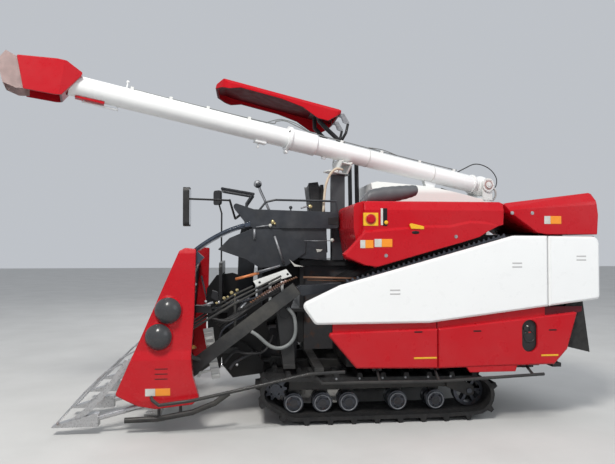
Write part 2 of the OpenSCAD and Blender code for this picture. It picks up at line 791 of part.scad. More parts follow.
module console_form() {
  side(-50, 150) polygon(rounded([[-340, 1470, 20], [-340, 1608, 20], [376, 1629, 30], [529, 1680, 20],
    [548, 1650, 20], [430, 1500, 20], [380, 1470, 10]]));
  side(-40, 130) polygon([[-240, 1471], [370, 1471], [330, 1250], [-220, hood_z], [-240, hood_z]]);
  box(300, 340, -40, 60, floor_z, 1300);
  box(-399, -301, -40, 36, hood_z, 1471);
  box(-340, -302, -40, 36, 1470, 1480);
}

// shroud below the console, seen from the left
module shroud_form() {
  side(129, 143) polygon(concat(
    [[-65, 1362], [-58, 1264], [104, 1152], [326, 1139], [437, 1209], [671, 1292], [575, 1389], [382, 1471],
      [160, 1471]],
    bow([150, 1465], [60, 1380], [-64, 1363], 6)
  ));
  rod([370, 150, 1468], [370, 150, 1375], 9);
  rod([206, 151.2, 1416], [123, 151.2, 1165], 8);
}

module column_form() {
  intersection() {
    side(-580, -50) polygon([[400, floor_z], [330, 1480], [360, 1560], [470, 1510], [500, 1400], [520,
      floor_z]]);
    front(300, 600) polygon([[-440, floor_z], [-560, 1350], [-570, 1600], [-60, 1600], [-70, 1350], [-190,
      floor_z]]);
  }
}

module grab_rail_form() {
  pipe([[444, -200, 1500], [434, -200, 1700], [376, -200, 1786], [650, -200, 1831], [650, -500, 1831],
    [376, -500, 1786],
    [434, -500, 1700], [444, -500, 1500]], 13);
}

module levers_form() {
  rod([236, 40, 1610], [330, 40, 1826], 9);
  translate([337, 40, 1844]) rotate([25, 40, 0]) sphere(28);
  pipe([[339, 112, 1610], [275, 108, 1692], [193, 110, 1711], [-325, 110, 1703], [-330, 110, 1600]], 9);
  for (x = [-103, 60]) {
    rod([x, 60, 1600], [x, 60, 1640], 6);
    translate([x, 60, 1650]) rotate([25, 40, 0]) sphere(15);
  }
}

module side_console() color([0.18, 0.18, 0.19]) {
  console_form();
  shroud_form();
  levers_form();
}

module instrument_column() color([0.16, 0.16, 0.17]) {
  column_form();
  grab_rail_form();
}

module seat() color([0.1, 0.1, 0.1]) {
  box(-250, 60, -560, -280, hood_z, 1262);
  side(-630, -210) polygon(rounded([[-300, 1262, 20], [150, 1262, 40], [160, 1340, 30], [-120, 1345, 20],
    [-158, 1420, 20], [-142, 1800, 60], [-200, 1922, 40], [-285, 1905, 40], [-310, 1400, 20]]));
}

// side view of the canopy: distance from its rear corner, height, radius
canopy_side = [
  [0, 10, 10], [8, 36, 8], [30, 42, 10], [1100, 42, 40], [1165, 0, 20], [1165, -40, 10], [1030, -42, 20],
    [935, -9, 30],
  [560, -10, 40], [358, -33, 40], [200, -94, 30], [105, -94, 20], [45, -38, 15]
];

module canopy() color([0.75, 0.05, 0.08]) placed_canopy() difference() {
  intersection() {
    side(-820, -170) polygon(rounded(canopy_side));
    plan(-200, 60) polygon(rounded([[0, -170, 60], [1080, -170, 100], [1165, -330, 60], [1165, -660, 60],
      [1080, -820, 100],
      [0, -820, 60]]));
    front(-20, 1180) polygon([[-170, -200], [-170, 8], [-212, 42], [-778, 42], [-820, 8], [-820, -200]]);
  }
  intersection() {
    side(-800, -190) polygon([[25, -200], [25, 20], [1090, 20], [1140, -10], [1140, -200]]);
    plan(-201, 21) polygon(rounded([[25, -195, 50], [1070, -195, 90], [1140, -338, 50], [1140, -652, 50],
      [1070, -795, 90],
      [25, -795, 50]]));
  }
}

module canopy_post() color([0.14, 0.14, 0.15]) {
  for (y = [-640, -290]) {
    pipe([[-590, y, hood_z + 5], [-575, y, 2150], [-292, y, 2408], [-230, y, 2475], [-225, y, 2580]], 20);
    box(-625, -555, y - 35, y + 35, hood_z, hood_z + 10);
  }
  placed_canopy() box(150, 260, -700, -240, 8, 20);
  rod([-575.5, -640, 2120], [-575.5, -290, 2120], 16);
  rod([-585.3, -640, 1500], [-585.3, -290, 1500], 16);
}

module mirror_left() color([0.08, 0.08, 0.08]) {
  rod([493.3, 100, 1579.7], [533, 100, 1548.5], 10);
  rod([530, 98, 1550], [575, 202, 1703], 9);
  rod([571, 198, 1697], [910, 300, 1700], 8);
  difference() {
    front(885, 935) polygon(rounded([[230, 1480, 30], [370, 1480, 30], [370, 1790, 30], [230, 1790, 30]]));
    front(880, 891) polygon(rounded([[240, 1490, 20], [360, 1490, 20], [360, 1780, 20], [240, 1780, 20]]));
  }
}

module mirror_right() color([0.08, 0.08, 0.08]) {
  rod([668.3, -735, 1110], [686, -735, 1110], 9);
  pipe([[678, -733, 1104], [676, -738, 1640], [712, -750, 1760]], 8);
  translate([716, -750, 0]) rotate([0, 0, 38]) difference() {
    front(-12, 12) polygon(rounded([[-55, 1722, 25], [55, 1722, 25], [55, 1864, 25], [-55, 1864, 25]]));
    front(-20, -8) polygon(rounded([[-47, 1730, 18], [47, 1730, 18], [47, 1856, 18], [-47, 1856, 18]]));
  }
}

// header

// upright between the lower and upper cross tubes
module strut(y, r) {
  rod([beam[0], y, beam[1]], [rail[0], y, rail[1]], r);
}

module header_frame_form() {
  bar(lift_x, lift_z, 50, 231, 601);
  bar(lift_x, lift_z, 40, 192, 640);
  rod([lift_x, pivot_y, lift_z], [beam[0], pivot_y, beam[1]], 48);
  bar(beam[0], beam[1], 38, -panel_y, panel_y);
  bar(rail[0], rail[1], 26, -panel_y, panel_y);
  for (y = [-strut_y, strut_y]) strut(y, 17);
  strut(-240, 22);
  difference() {
    for (d = [-24, 18]) side(pivot_y + d, pivot_y + d + 6) polygon([[630, 470], [640, 350], [700, 350],
      [730, 400]]);
    bar(cyl_eye[0], cyl_eye[1], 14, pivot_y - 60, pivot_y + 60);
  }
  for (y = [-560, -40, 480]) side(y - 8, y + 8)
    polygon([[950, 240], [1052, 116], [1096, 116], [1096, 130], [1010, 235]]);
}

module header_cylinder_barrel() color([0.15, 0.15, 0.15]) {
  b = [cyl_base[0], pivot_y, cyl_base[1]];
  e = [cyl_eye[0], pivot_y, cyl_eye[1]];
  u = unit(e - b);
  difference() {
    union() {
      rod(b, b + u * 280, 28);
      bar(b[0], b[2], 26, pivot_y - 20, pivot_y + 20);
    }
    rod(b + u * 40, b + u * 290, 16.3);
    bar(b[0], b[2], 15.3, pivot_y - 30, pivot_y + 30);
  }
}

module header_cylinder_rod() color([0.8, 0.8, 0.8]) {
  b = [cyl_base[0], pivot_y, cyl_base[1]];
  e = [cyl_eye[0], pivot_y, cyl_eye[1]];
  u = unit(e - b);
  rod(b + u * 90, e, 16);
  bar(e[0], e[2], 24, pivot_y - 17.7, pivot_y + 17.7);
}

// outline of a header side panel: distance forward, height
panel_side = [
  [768, 249, 15], [815, 205, 10], [962, 190, 30], [1072, 178, 30], [1190, 202, 20], [1345, 284, 20], [912,
    1288, 20],
  [872, 1310, 20], [795, 1302, 10], [806, 840, 0], [826, 540, 30], [812, 400, 30]
];

// above the crease at this height the panel lies deeper
panel_crease = 522;

module side_panel_form() {
  intersection() {
    side(side_y - 62, side_y) polygon(rounded(panel_side));
    front(700, 1400) polygon([[side_y - 62, 170], [side_y - 14, 178], [side_y, 240], [side_y, panel_crease],
      [side_y - 20, panel_crease + 62], [side_y - 20, 1270], [side_y - 34, 1312], [side_y - 62, 1312]]);
  }
}

module header_side_left() color([0.75, 0.05, 0.08]) {
  side_panel_form();
  domes_form();
}

module header_side_right() color([0.75, 0.05, 0.08]) mirror([0, 1, 0]) side_panel_form();

module domes_form() {
  for (p = [[985, 868], [1050, 684]]) intersection() {
    translate([p[0], side_y - 40, p[1]]) sphere(102);
    box(p[0] - 110, p[0] + 110, side_y - 20, side_y + 80, p[1] - 110, p[1] + 110);
  }
}

module raising_case(y) {
  difference() {
    union() {
      side(y - 68, y + 68) polygon(rounded([[1330, 250, 25], [1240, 205, 25], [868, 1150, 30], [872, 1225, 35],
        [930, 1225, 35]]));
      side(y - 12, y + 12) polygon([[1240, 225], [985, 235], [985, 270], [1225, 262]]);
    }
    bar(beam[0], beam[1], 38.2, y - 90, y + 90);
    bar(rail[0], rail[1], 26.2, y - 90, y + 90);
  }
  for (k = [0:4]) {
    x = 1275 - 0.385 * k * tine_pitch;
    z = 310 + 0.923 * k * tine_pitch;
    rod([x, y - 67, z], [x - 14, y - 225, z + 26], 10, 5);
  }
}

module raising_case_a() color([0.85, 0.85, 0.84]) raising_case(case_y[0]);
module raising_case_b() color([0.85, 0.85, 0.84]) raising_case(case_y[1]);
module raising_case_c() color([0.85, 0.85, 0.84]) raising_case(case_y[2]);

module divider(y) {
  side(y - 36, y + 36) polygon([[1782, 58], [1782, 66], [1690, 95], [1600, 115], [1501, 148], [1470, 142],
    [1470, 56]]);
  difference() {
    rod([1500, y, 104], [985, y, 235], 20);
    bar(beam[0], beam[1], 38.2, y - 90, y + 90);
  }
  side(y - 22, y + 22) polygon(concat(
    bow([1700, 80], [1475, 215], [1290, 520], 10),
    bow([1255, 505], [1420, 230], [1610, 90], 10)
  ));
  rod([1770, y, 62], [1560, y, 300], 7);
  rod([1564, y, 295], [1425, y, 432], 6.5);
  rod([1429, y, 428], [1262, y, 516], 6);
}

module divider_a() color([0.7, 0.7, 0.7]) divider(divider_y - 40);
module divider_b() color([0.7, 0.7, 0.7]) divider(divider_y - row_pitch - 20);
module divider_c() color([0.7, 0.7, 0.7]) divider(divider_y - 2 * row_pitch - 20);
module divider_d() color([0.7, 0.7, 0.7]) divider(divider_y - 3 * row_pitch + 20);

module cutter_bar() color([0.5, 0.5, 0.5]) {
  plan(100, 116) {
    translate([1050, -750]) square([50, 1500]);
    for (k = [0:19]) translate([1095, -730 + k * 76.8]) polygon([[0, -22], [70, -4], [70, 4], [0, 22]]);
  }
}

module star_wheels() color([0.6, 0.45, 0.1]) {
  difference() {
    for (y = row_y) translate([1010, y, 350]) rotate([0, 12, 0]) {
      linear_extrude(16) polygon([for (k = [0:6]) for (q = [[52, 0], [118, 6], [122, 16], [60, 34]])
        q[0] * [cos(q[1] + k * 360 / 7), sin(q[1] + k * 360 / 7)]]);
      translate([0, 0, -84]) cylinder(h = 112, r = 17);
    }
    bar(beam[0], beam[1], 38.2, -panel_y, panel_y);
  }
}

module conveyor_box(gap) {
  u = unit([-820, 140, 630]);
  translate([880, 560, 380]) rotate([0, 0, atan2(140, -820)]) rotate([0, -asin(u[2]), 0])
    translate([0, -25 - gap, -50 - gap]) cube([1040, 50 + 2 * gap, 100 + 2 * gap]);
}

module conveyor_form() {
  conveyor_box(0);
  difference() {
    rod([770, 578, 466], [954, strut_y - 4, 560], 16);
    strut(strut_y, 17.2);
  }
}

// ribbed strip that guides the stalks upward
module guide_strip() color([0.9, 0.9, 0.88]) {
  side(490, 508) polygon([[689, 699], [764, 687], [728, 484], [694, 307], [631, 318], [664, 484]]);
  for (k = [0:7]) {
    x = 640 + 8.2 * k;
    z = 338 + 46 * k;
    side(505, 524) polygon([[x, z], [x + 58, z - 9], [x + 59, z + 3], [x + 1, z + 12]]);
  }
  side(500, 512) polygon([[638, 392], [790, 366], [812, 330], [788, 322], [770, 350], [638, 374]]);
  difference() {
    rod([705, 499, 520], [705, 600, 520], 9);
    conveyor_box(0.3);
  }
  difference() {
    side(604, 662) polygon([[388, 1061], [357, 1015], [97, 1097], [137, 1147]]);
    for (q = [[338, 1050], [128, 1110]]) bar(q[0], q[1], 9, 600, 670);
  }
  difference() {
    for (x = [160, 250]) box(x, x + 20, 647, 660, 900, 1060);
    conveyor_box(0.3);
  }
}

module header_arch() color([0.04, 0.04, 0.05]) {
  side(520, panel_y - 2) polygon(concat(
    bow([830, 1290], [640, 1450], [410, 1500], 10),
    bow([410, 1470], [620, 1420], [790, 1285], 10)
  ));
  difference() {
    side(panel_y - 27, panel_y - 1) polygon([[790, 1285], [835, 1296], [912, 1175], [905, 1130], [850,
      1120], [740, 1240]]);
    bar(rail[0], rail[1], 26.2, 600, 800);
    strut(strut_y, 17.2);
  }
}

module crop_rods_form() {
  for (k = [0:2]) {
    rod([870, 640 - 60 * k, 690 + 20 * k], [516, 690 - 40 * k, 902 + 30 * k], 9);
    front_end = [524, 690 - 40 * k, 897 + 30 * k];
    rear_end = [180, 738 - 30 * k, 1080 + 20 * k];
    rod(front_end, front_end + (rear_end - front_end) * (k == 2 ? 0.4 : 1), 8);
  }
  rod([520, 697, 894], [520, 600, 967], 7);
  rod([520, 622, 690], [520, 645, 934], 10);
  rod([860, 500, 738], [860, 660, 684], 7);
  rod([846, 560, 440], [862, 580, 712], 8);
}

module guide_front_form() {
  pipe([[1096, side_y + 5.7, 266], [1084, 884, 254], [1035, 915, 226], [808, 915, 252], [376, 915, 338],
    [-12, 915, 417], [-263, 915, 426]], 12);
  pipe([[1286, 800, 96], [1060, 800, 100], [818, 800, 140], [660, 800, 200], [560, 800, 270]], 20);
  rod([1050, 800, 105], [1050, 800, 178.9], 11);
  rod([900, 800, 125], [900, 800, 194.9], 11);
}

module guide_rear_form() {
  pipe([[-58, 880, 386], [-106, 880, 342], [-965, 880, 335]], 12);
  rod([-955, 880, 334.6], [-1770, 880, 370], 11.5);
  for (x = [-560, -1000, -1720]) rod([x + 35, 765, 412], [x + 35, 880, x < -1500 ? 368 : 336], 10);
}

module chassis() color([0.16, 0.16, 0.17]) {
  chassis_form();
  guide_rear_form();
}

module header_frame() color([0.18, 0.18, 0.19]) {
  header_frame_form();
  guide_front_form();
}

module conveyor_case() color([0.3, 0.3, 0.31]) {
  conveyor_form();
  crop_rods_form();
}

chassis();
tow_eyes();
track_left();
track_right();
track_frame_left();
track_frame_right();
track_wheels_left();
track_wheels_right();
transmission();
thresher_housing();
drum_cover();
feed_chain();
side_cover_upper();
side_cover_rear();
side_cover_lower_front();
side_cover_lower_rear();
side_lamp();
straw_cover();
straw_cutter();
rear_flap();
return_duct();
grain_tank();
auger_vertical();
auger_turret();
auger_tube();
auger_hood();
hood_curtain();
auger_cylinder_barrel();
auger_cylinder_rod();
auger_saddle();
engine();
engine_door();
platform();
fuel_tank();
side_console();
instrument_column();
seat();
canopy();
canopy_post();
mirror_left();
mirror_right();
header_frame();
header_cylinder_barrel();
header_cylinder_rod();
header_side_left();
header_side_right();
raising_case_a();
raising_case_b();
raising_case_c();
divider_a();
divider_b();
divider_c();
divider_d();
cutter_bar();
star_wheels();
conveyor_case();
guide_strip();
header_arch();
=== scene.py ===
"""Combine harvester on rubber tracks: looks, small pieces, camera and light around the CAD frame.

The frame is in metres, +X forward, +Y left, +Z up, with its origin on the ground below the middle
of the machine. Small pieces are drawn in millimetres and scaled once, when they are finished.
"""
import math

import bmesh
import bpy
from mathutils import Matrix, Vector


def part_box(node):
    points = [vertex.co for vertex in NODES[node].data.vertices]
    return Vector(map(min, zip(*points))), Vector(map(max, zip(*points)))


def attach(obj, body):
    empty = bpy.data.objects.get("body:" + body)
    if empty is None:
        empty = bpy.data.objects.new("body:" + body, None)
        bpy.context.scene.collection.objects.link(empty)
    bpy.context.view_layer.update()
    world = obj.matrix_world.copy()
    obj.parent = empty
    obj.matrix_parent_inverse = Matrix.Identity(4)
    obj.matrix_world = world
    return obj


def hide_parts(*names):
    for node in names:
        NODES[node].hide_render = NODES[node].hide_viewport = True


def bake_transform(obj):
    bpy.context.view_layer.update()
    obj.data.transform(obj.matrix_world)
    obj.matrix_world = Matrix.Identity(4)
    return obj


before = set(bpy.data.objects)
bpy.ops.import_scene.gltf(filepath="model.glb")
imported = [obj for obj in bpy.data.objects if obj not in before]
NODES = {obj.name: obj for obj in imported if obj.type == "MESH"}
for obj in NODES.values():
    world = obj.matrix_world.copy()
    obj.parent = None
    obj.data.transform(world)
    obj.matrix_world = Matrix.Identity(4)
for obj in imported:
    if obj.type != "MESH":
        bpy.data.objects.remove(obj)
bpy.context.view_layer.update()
MM = 0.001
LEFT = (0, 1, 0)

# Colours as linear values.
RED = (0.45, 0.0022, 0.009)
# Painted shade: a darker red for red faces that lie in shade.
PAINTED_SHADE_RED = (0.1, 0.006, 0.012)
WHITE = (0.82, 0.83, 0.83)
OFF_WHITE = (0.7, 0.71, 0.69)
EARTH = (0.2, 0.17, 0.13)
DUST = (0.26, 0.24, 0.2)
RUST = (0.16, 0.065, 0.03)
FADED_GREY = 0.35


class Shader:
    """Builds one node material from procedural noise and masks."""

    def __init__(self, name):
        self.mat = bpy.data.materials.new(name)
        self.mat.use_nodes = True
        self.tree = self.mat.node_tree
        self.tree.nodes.clear()
        self.out = self.new("ShaderNodeOutputMaterial")
        self.bsdf = self.new("ShaderNodeBsdfPrincipled")
        self.link(self.bsdf.outputs[0], self.out.inputs[0])
        self.coords = self.new("ShaderNodeTexCoord").outputs["Object"]
        self.normal = None

    def new(self, kind, **values):
        """New node with these settings."""
        node = self.tree.nodes.new(kind)
        for key, value in values.items():
            setattr(node, key, value)
        return node

    def link(self, a, b):
        self.tree.links.new(a, b)

    def put(self, socket, value):
        """Gives a socket a colour, a number or the output of a node."""
        if isinstance(value, tuple):
            socket.default_value = (*value, 1.0)
        elif isinstance(value, (int, float)):
            socket.default_value = value
        else:
            self.link(value, socket)

    def noise(self, scale, detail=4.0, rough=0.55, stretch=(1, 1, 1)):
        """Noise fixed to the piece, with this many waves to the metre."""
        mapping = self.new("ShaderNodeMapping")
        mapping.inputs["Scale"].default_value = stretch
        self.link(self.coords, mapping.inputs["Vector"])
        node = self.new("ShaderNodeTexNoise")
        node.inputs["Scale"].default_value = scale
        node.inputs["Detail"].default_value = detail
        node.inputs["Roughness"].default_value = rough
        self.link(mapping.outputs[0], node.inputs["Vector"])
        return node.outputs["Fac"]

    def ramp(self, source, low, high, a=0.0, b=1.0):
        """Value that goes from a to b while the source goes from low to high."""
        node = self.new("ShaderNodeMapRange")
        for name, value in (("From Min", low), ("From Max", high), ("To Min", a), ("To Max", b)):
            node.inputs[name].default_value = value
        self.link(source, node.inputs["Value"])
        return node.outputs[0]

    def along(self, axis, low, high, a=0.0, b=1.0):
        """Value that goes from a to b between two places along an axis of the frame."""
        split = self.new("ShaderNodeSeparateXYZ")
        self.link(self.coords, split.inputs[0])
        return self.ramp(split.outputs[axis], low, high, a, b)

    def facing(self, axis, low, high):
        """Mask of the faces that look along an axis of the frame."""
        geometry = self.new("ShaderNodeNewGeometry")
        split = self.new("ShaderNodeSeparateXYZ")
        self.link(geometry.outputs["True Normal"], split.inputs[0])
        return self.ramp(split.outputs[axis], low, high)

    def math(self, op, x, y):
        node = self.new("ShaderNodeMath", operation=op)
        self.put(node.inputs[0], x)
        self.put(node.inputs[1], y)
        return node.outputs[0]

    def mix(self, factor, a, b):
        node = self.new("ShaderNodeMix", data_type="RGBA")
        self.put(node.inputs["Factor"], factor)
        self.put(node.inputs[6], a)
        self.put(node.inputs[7], b)
        return node.outputs[2]

    def soft_edges(self, radius):
        """Shades the edges as if they were rounded to this radius."""
        node = self.new("ShaderNodeBevel", samples=4)
        node.inputs["Radius"].default_value = radius
        self.normal = node.outputs[0]

    def bump(self, source, strength, distance=0.002):
        node = self.new("ShaderNodeBump")
        node.inputs["Strength"].default_value = strength
        node.inputs["Distance"].default_value = distance
        self.link(source, node.inputs["Height"])
        if self.normal:
            self.link(self.normal, node.inputs["Normal"])
        self.link(node.outputs[0], self.bsdf.inputs["Normal"])

    def finish(self, color, rough, metallic=0.0, coat=0.0):
        """Sets the last inputs and returns the material."""
        values = {"Base Color": color, "Roughness": rough, "Metallic": metallic,
                  "Coat Weight": coat}
        for name, value in values.items():
            self.put(self.bsdf.inputs[name], value)
        return self.mat


def paint(name, base, rough=0.3, coat=0.4, dust=0.25, dust_top=0.9, fade=0.03, masks=(),
          edge=0.008, shine=0.25):
    """Machine paint with slight fading, fine specks and dust up to the height dust_top.

    Each mask is (kind, axis, low, high, colour): "place" or "facing" along an axis.
    """
    s = Shader(name)
    faded = tuple(c * (1 - fade) + FADED_GREY * fade for c in base)
    color = s.mix(s.ramp(s.noise(2.3, 3), 0.35, 0.75), base, faded)
    for kind, axis, low, high, shade in masks:
        where = s.along(axis, low, high) if kind == "place" else s.facing(axis, low, high)
        color = s.mix(where, color, shade)
    speck = s.ramp(s.noise(38, 6, 0.7), 0.64, 0.8, 0.0, 0.3)
    color = s.mix(speck, color, tuple(c * 0.55 for c in base))
    height = s.along("Z", dust_top, 0.1)
    low_down = s.math("MULTIPLY", height, s.ramp(s.noise(7, 6, 0.65), 0.3, 0.75))
    color = s.mix(s.math("MULTIPLY", low_down, dust), color, DUST)
    roughness = s.ramp(s.noise(14, 5), 0.3, 0.7, rough * 0.8, rough * 1.35)
    s.soft_edges(edge)
    s.bump(s.noise(220, 2), 0.02, 0.001)
    s.bsdf.inputs["Specular IOR Level"].default_value = shine
    return s.finish(color, roughness, 0.0, coat)


def plastic(name, base, rough=0.5, grain=0.12, grain_scale=420, dust=0.2):
    """Moulded plastic with a fine grain, scuffs and dust on it."""
    s = Shader(name)
    lighter = tuple(min(1, c * 1.4 + 0.01) for c in base)
    color = s.mix(s.ramp(s.noise(9, 5, 0.6), 0.45, 0.8), base, lighter)
    dusty = s.math("MULTIPLY", s.ramp(s.noise(4, 6, 0.65), 0.45, 0.8), dust)
    color = s.mix(dusty, color, DUST)
    roughness = s.ramp(s.noise(17, 4), 0.3, 0.7, rough * 0.85, min(1.0, rough * 1.25))
    s.soft_edges(0.004)
    s.bump(s.noise(grain_scale, 3, 0.6), grain, 0.0008)
    return s.finish(color, roughness)


def metal(name, base, rough=0.4, metallic=0.9, rust=0.0, scratch=0.15, stretch=(1, 1, 1)):
    """Bare or worn metal with streaks, scratches and some rust."""
    s = Shader(name)
    streak = s.noise(60, 4, 0.6, stretch)
    color = s.mix(s.ramp(streak, 0.35, 0.7), tuple(c * 0.75 for c in base), base)
    if rust:
        patch = s.ramp(s.noise(11, 7, 0.7), 0.62 - 0.25 * rust, 0.78, 0.0, 0.9)
        color = s.mix(patch, color, RUST)
    roughness = s.ramp(streak, 0.2, 0.8, rough * 0.7, min(1.0, rough * 1.4))
    s.bump(s.noise(160, 5, 0.7, stretch), scratch, 0.0006)
    return s.finish(color, roughness, metallic)


def rubber(name, base=(0.012, 0.012, 0.0125), dust=0.3, dust_top=0.4):
    """Rubber, dull and crazed, with dry earth on it."""
    s = Shader(name)
    color = s.mix(s.ramp(s.noise(24, 6, 0.7), 0.4, 0.7), base, tuple(c * 2.2 for c in base))
    patches = s.ramp(s.noise(10, 7, 0.7), 0.46, 0.76)
    earth = s.math("MULTIPLY", patches, s.along("Z", dust_top, 0.0, 0.2, 1.0))
    color = s.mix(s.math("MULTIPLY", earth, dust), color, EARTH)
    roughness = s.ramp(s.noise(30, 4), 0.3, 0.7, 0.6, 0.9)
    s.bump(s.noise(130, 6, 0.7), 0.35, 0.0015)
    return s.finish(color, roughness)


def film(name, base):
    """Cloudy plastic film that lets some light through."""
    s = Shader(name)
    color = s.mix(s.ramp(s.noise(14, 5, 0.6), 0.35, 0.7), base, tuple(c * 0.7 for c in base))
    s.bsdf.inputs["Transmission Weight"].default_value = 0.45
    s.bump(s.noise(60, 4, 0.6), 0.2, 0.001)
    return s.finish(color, s.ramp(s.noise(20, 4), 0.3, 0.7, 0.3, 0.55))


# Masks give some nodes a second colour. Painted shade: the return behind the face of the lower
# covers and the hood's and the canopy's undersides are painted a darker red for the shade there.
# The two domes that stand out of the header's left panel are grey and the post below the auger's
# cradle is dark.
MAT = {
    "red": paint("paint_red", RED, 0.28, 0.1, 0.05),
    # Painted shade: the return behind the lower covers' faces, inward of Y 0.8, is painted darker
    # red.
    "red_low": paint("paint_red_low_with_painted_shade", RED, 0.3, 0.1, 0.06,
                     masks=[("place", "Y", 0.803, 0.799, PAINTED_SHADE_RED)]),
    # Painted shade: the hood's faces that look downwards are painted darker red.
    "red_hood": paint("paint_red_hood_with_painted_shade", RED, 0.3, 0.3, 0.05,
                      masks=[("facing", "Z", -0.6, -0.8, PAINTED_SHADE_RED)]),
    # Painted shade: the canopy's downward faces are painted near-black red.
    "red_canopy": paint("paint_red_canopy_with_painted_shade", RED, 0.4, 0.05, 0.05,
                        masks=[("facing", "Z", -0.2, -0.6, (0.085, 0.003, 0.006))], shine=0.05),
    "red_panel": paint("paint_red_panel", RED, 0.24, 0.15, 0.08, 0.5,
                       masks=[("place", "Y", 0.8462, 0.8468, (0.045, 0.047, 0.05))], edge=0.014),
    "white": paint("paint_white", WHITE, 0.3, 0.45, 0.12, 0.8, 0.04, edge=0.014),
    "offwhite": paint("paint_off_white", OFF_WHITE, 0.36, 0.3, 0.25, 1.2, 0.08),
    "saddle": paint("paint_saddle", OFF_WHITE, 0.4, 0.3, 0.2, 1.2,
                    masks=[("place", "Z", 1.956, 1.95, (0.055, 0.058, 0.063))]),
    "frame": paint("paint_frame", (0.016, 0.0165, 0.018), 0.42, 0.12, 0.22, 0.6, 0.03),
    "housing": paint("paint_housing", (0.007, 0.007, 0.008), 0.55, 0.0, 0.12, 0.7, 0.01),
    "black_paint": paint("paint_black", (0.014, 0.014, 0.016), 0.35, 0.2, 0.15, 0.9, 0.02),
    "dark": plastic("plastic_dark_grey", (0.02, 0.023, 0.029), 0.38, 0.06, 420, 0.08),
    "black": plastic("plastic_black", (0.009, 0.009, 0.01), 0.42, 0.08, 420, 0.06),
    "gloss": plastic("plastic_gloss_black", (0.03, 0.04, 0.06), 0.12, 0.01, 200, 0.04),
    "grey": plastic("plastic_grey", (0.085, 0.09, 0.097), 0.45, 0.08, 300, 0.12),
    "case": plastic("plastic_case", (0.016, 0.017, 0.018), 0.5, 0.1, 300, 0.25),
    "pale": plastic("plastic_pale", (0.5, 0.5, 0.47), 0.5, 0.1, 300, 0.35),
    "ochre": plastic("plastic_ochre", (0.42, 0.2, 0.04), 0.5, 0.1, 300, 0.3),
    "vinyl": plastic("vinyl_seat", (0.016, 0.016, 0.018), 0.55, 0.35, 700, 0.08),
    "track": rubber("rubber_track", (0.005, 0.005, 0.0055), 0.06),
    "soft": rubber("rubber_flap", (0.008, 0.008, 0.008), 0.15, 1.0),
    "hose": rubber("rubber_hose", (0.014, 0.014, 0.015), 0.12, 2.0),
    "grey_hose": plastic("hose_grey", (0.16, 0.17, 0.17), 0.45, 0.12, 260, 0.2),
    "beige_hose": plastic("hose_beige", (0.5, 0.42, 0.32), 0.55, 0.1, 260, 0.2),
    "curtain": film("film_curtain", (0.62, 0.46, 0.44)),
    "steel": metal("steel_worn", (0.085, 0.092, 0.11), 0.3, 0.6, 0.2, 0.3),
    "cast": metal("iron_cast", (0.06, 0.06, 0.065), 0.6, 0.4, 0.3, 0.6),
    "bare": metal("steel_bare", (0.56, 0.56, 0.57), 0.3, 0.85, 0.1, 0.25, (1, 8, 1)),
    "chrome": metal("chrome_rod", (0.8, 0.8, 0.82), 0.12, 1.0, 0.0, 0.03),
    "zinc": metal("steel_zinc", (0.3, 0.31, 0.33), 0.42, 0.5, 0.1, 0.2),
    "brown": metal("steel_brown", (0.22, 0.12, 0.075), 0.55, 0.5, 0.7, 0.4),
    "copper": metal("paint_worn_orange", (0.6, 0.2, 0.07), 0.42, 0.3, 0.2, 0.2),
    "brass": metal("brass_dull", (0.6, 0.5, 0.26), 0.35, 0.8, 0.1, 0.2),
    "rusty": metal("steel_pinkish", (0.5, 0.34, 0.32), 0.5, 0.3, 0.4, 0.3),
    "yellow": paint("paint_yellow", (0.75, 0.42, 0.02), 0.4, 0.2, 0.1, 0.9, 0.03),
    "orange": paint("paint_orange", (0.8, 0.27, 0.02), 0.4, 0.2, 0.1, 0.9, 0.03),
    "mark_grey": paint("mark_grey", (0.5, 0.5, 0.5), 0.5, 0.1, 0.1, 0.9, 0.03),
    "lamp_red": plastic("lamp_red", (0.45, 0.01, 0.01), 0.12, 0.02, 90, 0.02),
    "lamp_clear": plastic("lamp_clear", (0.6, 0.58, 0.52), 0.1, 0.05, 90, 0.02),
    "mirror": metal("mirror_glass", (0.75, 0.77, 0.8), 0.04, 1.0, 0.0, 0.0),
}

# The look of each node of the frame.
NODE_LOOK = {
    "frame": ("chassis", "tow_eyes", "track_frame_left", "track_frame_right", "straw_cutter",
              "platform", "header_frame"),
    "track": ("track_left", "track_right"),
    "steel": ("track_wheels_left", "track_wheels_right", "feed_chain"),
    "cast": ("transmission", "engine"),
    "housing": ("thresher_housing",),
    "red": ("drum_cover", "straw_cover", "header_side_right"),
    "red_low": ("side_cover_lower_front", "side_cover_lower_rear"),
    "red_hood": ("auger_hood",),
    "red_canopy": ("canopy",),
    "red_panel": ("header_side_left",),
    "white": ("side_cover_upper", "side_cover_rear", "auger_tube"),
    "offwhite": ("grain_tank", "auger_vertical", "auger_turret", "guide_strip"),
    "saddle": ("auger_saddle",),
    "black": ("side_lamp", "engine_door", "fuel_tank", "mirror_left", "mirror_right"),
    "black_paint": ("canopy_post", "auger_cylinder_barrel", "header_cylinder_barrel"),
    "chrome": ("auger_cylinder_rod", "header_cylinder_rod"),
    "soft": ("rear_flap",),
    "grey": ("return_duct",),
    "case": ("conveyor_case",),
    "dark": ("side_console", "instrument_column"),
    "vinyl": ("seat",),
    "pale": ("raising_case_a", "raising_case_b", "raising_case_c"),
    "bare": ("divider_a", "divider_b", "divider_c", "divider_d", "cutter_bar"),
    "ochre": ("star_wheels",),
    "gloss": ("header_arch",),
    "curtain": ("hood_curtain",),
}
for look, names in NODE_LOOK.items():
    for node in names:
        slots = NODES[node].data.materials
        slots.clear()
        slots.append(MAT[look])


def turns(count):
    """Angles that share a full turn evenly."""
    return [2 * math.pi * k / count for k in range(count)]


def oblong(x0, x1, z0, z1):
    """Rectangle seen from the left."""
    return [(x0, z0), (x1, z0), (x1, z1), (x0, z1)]


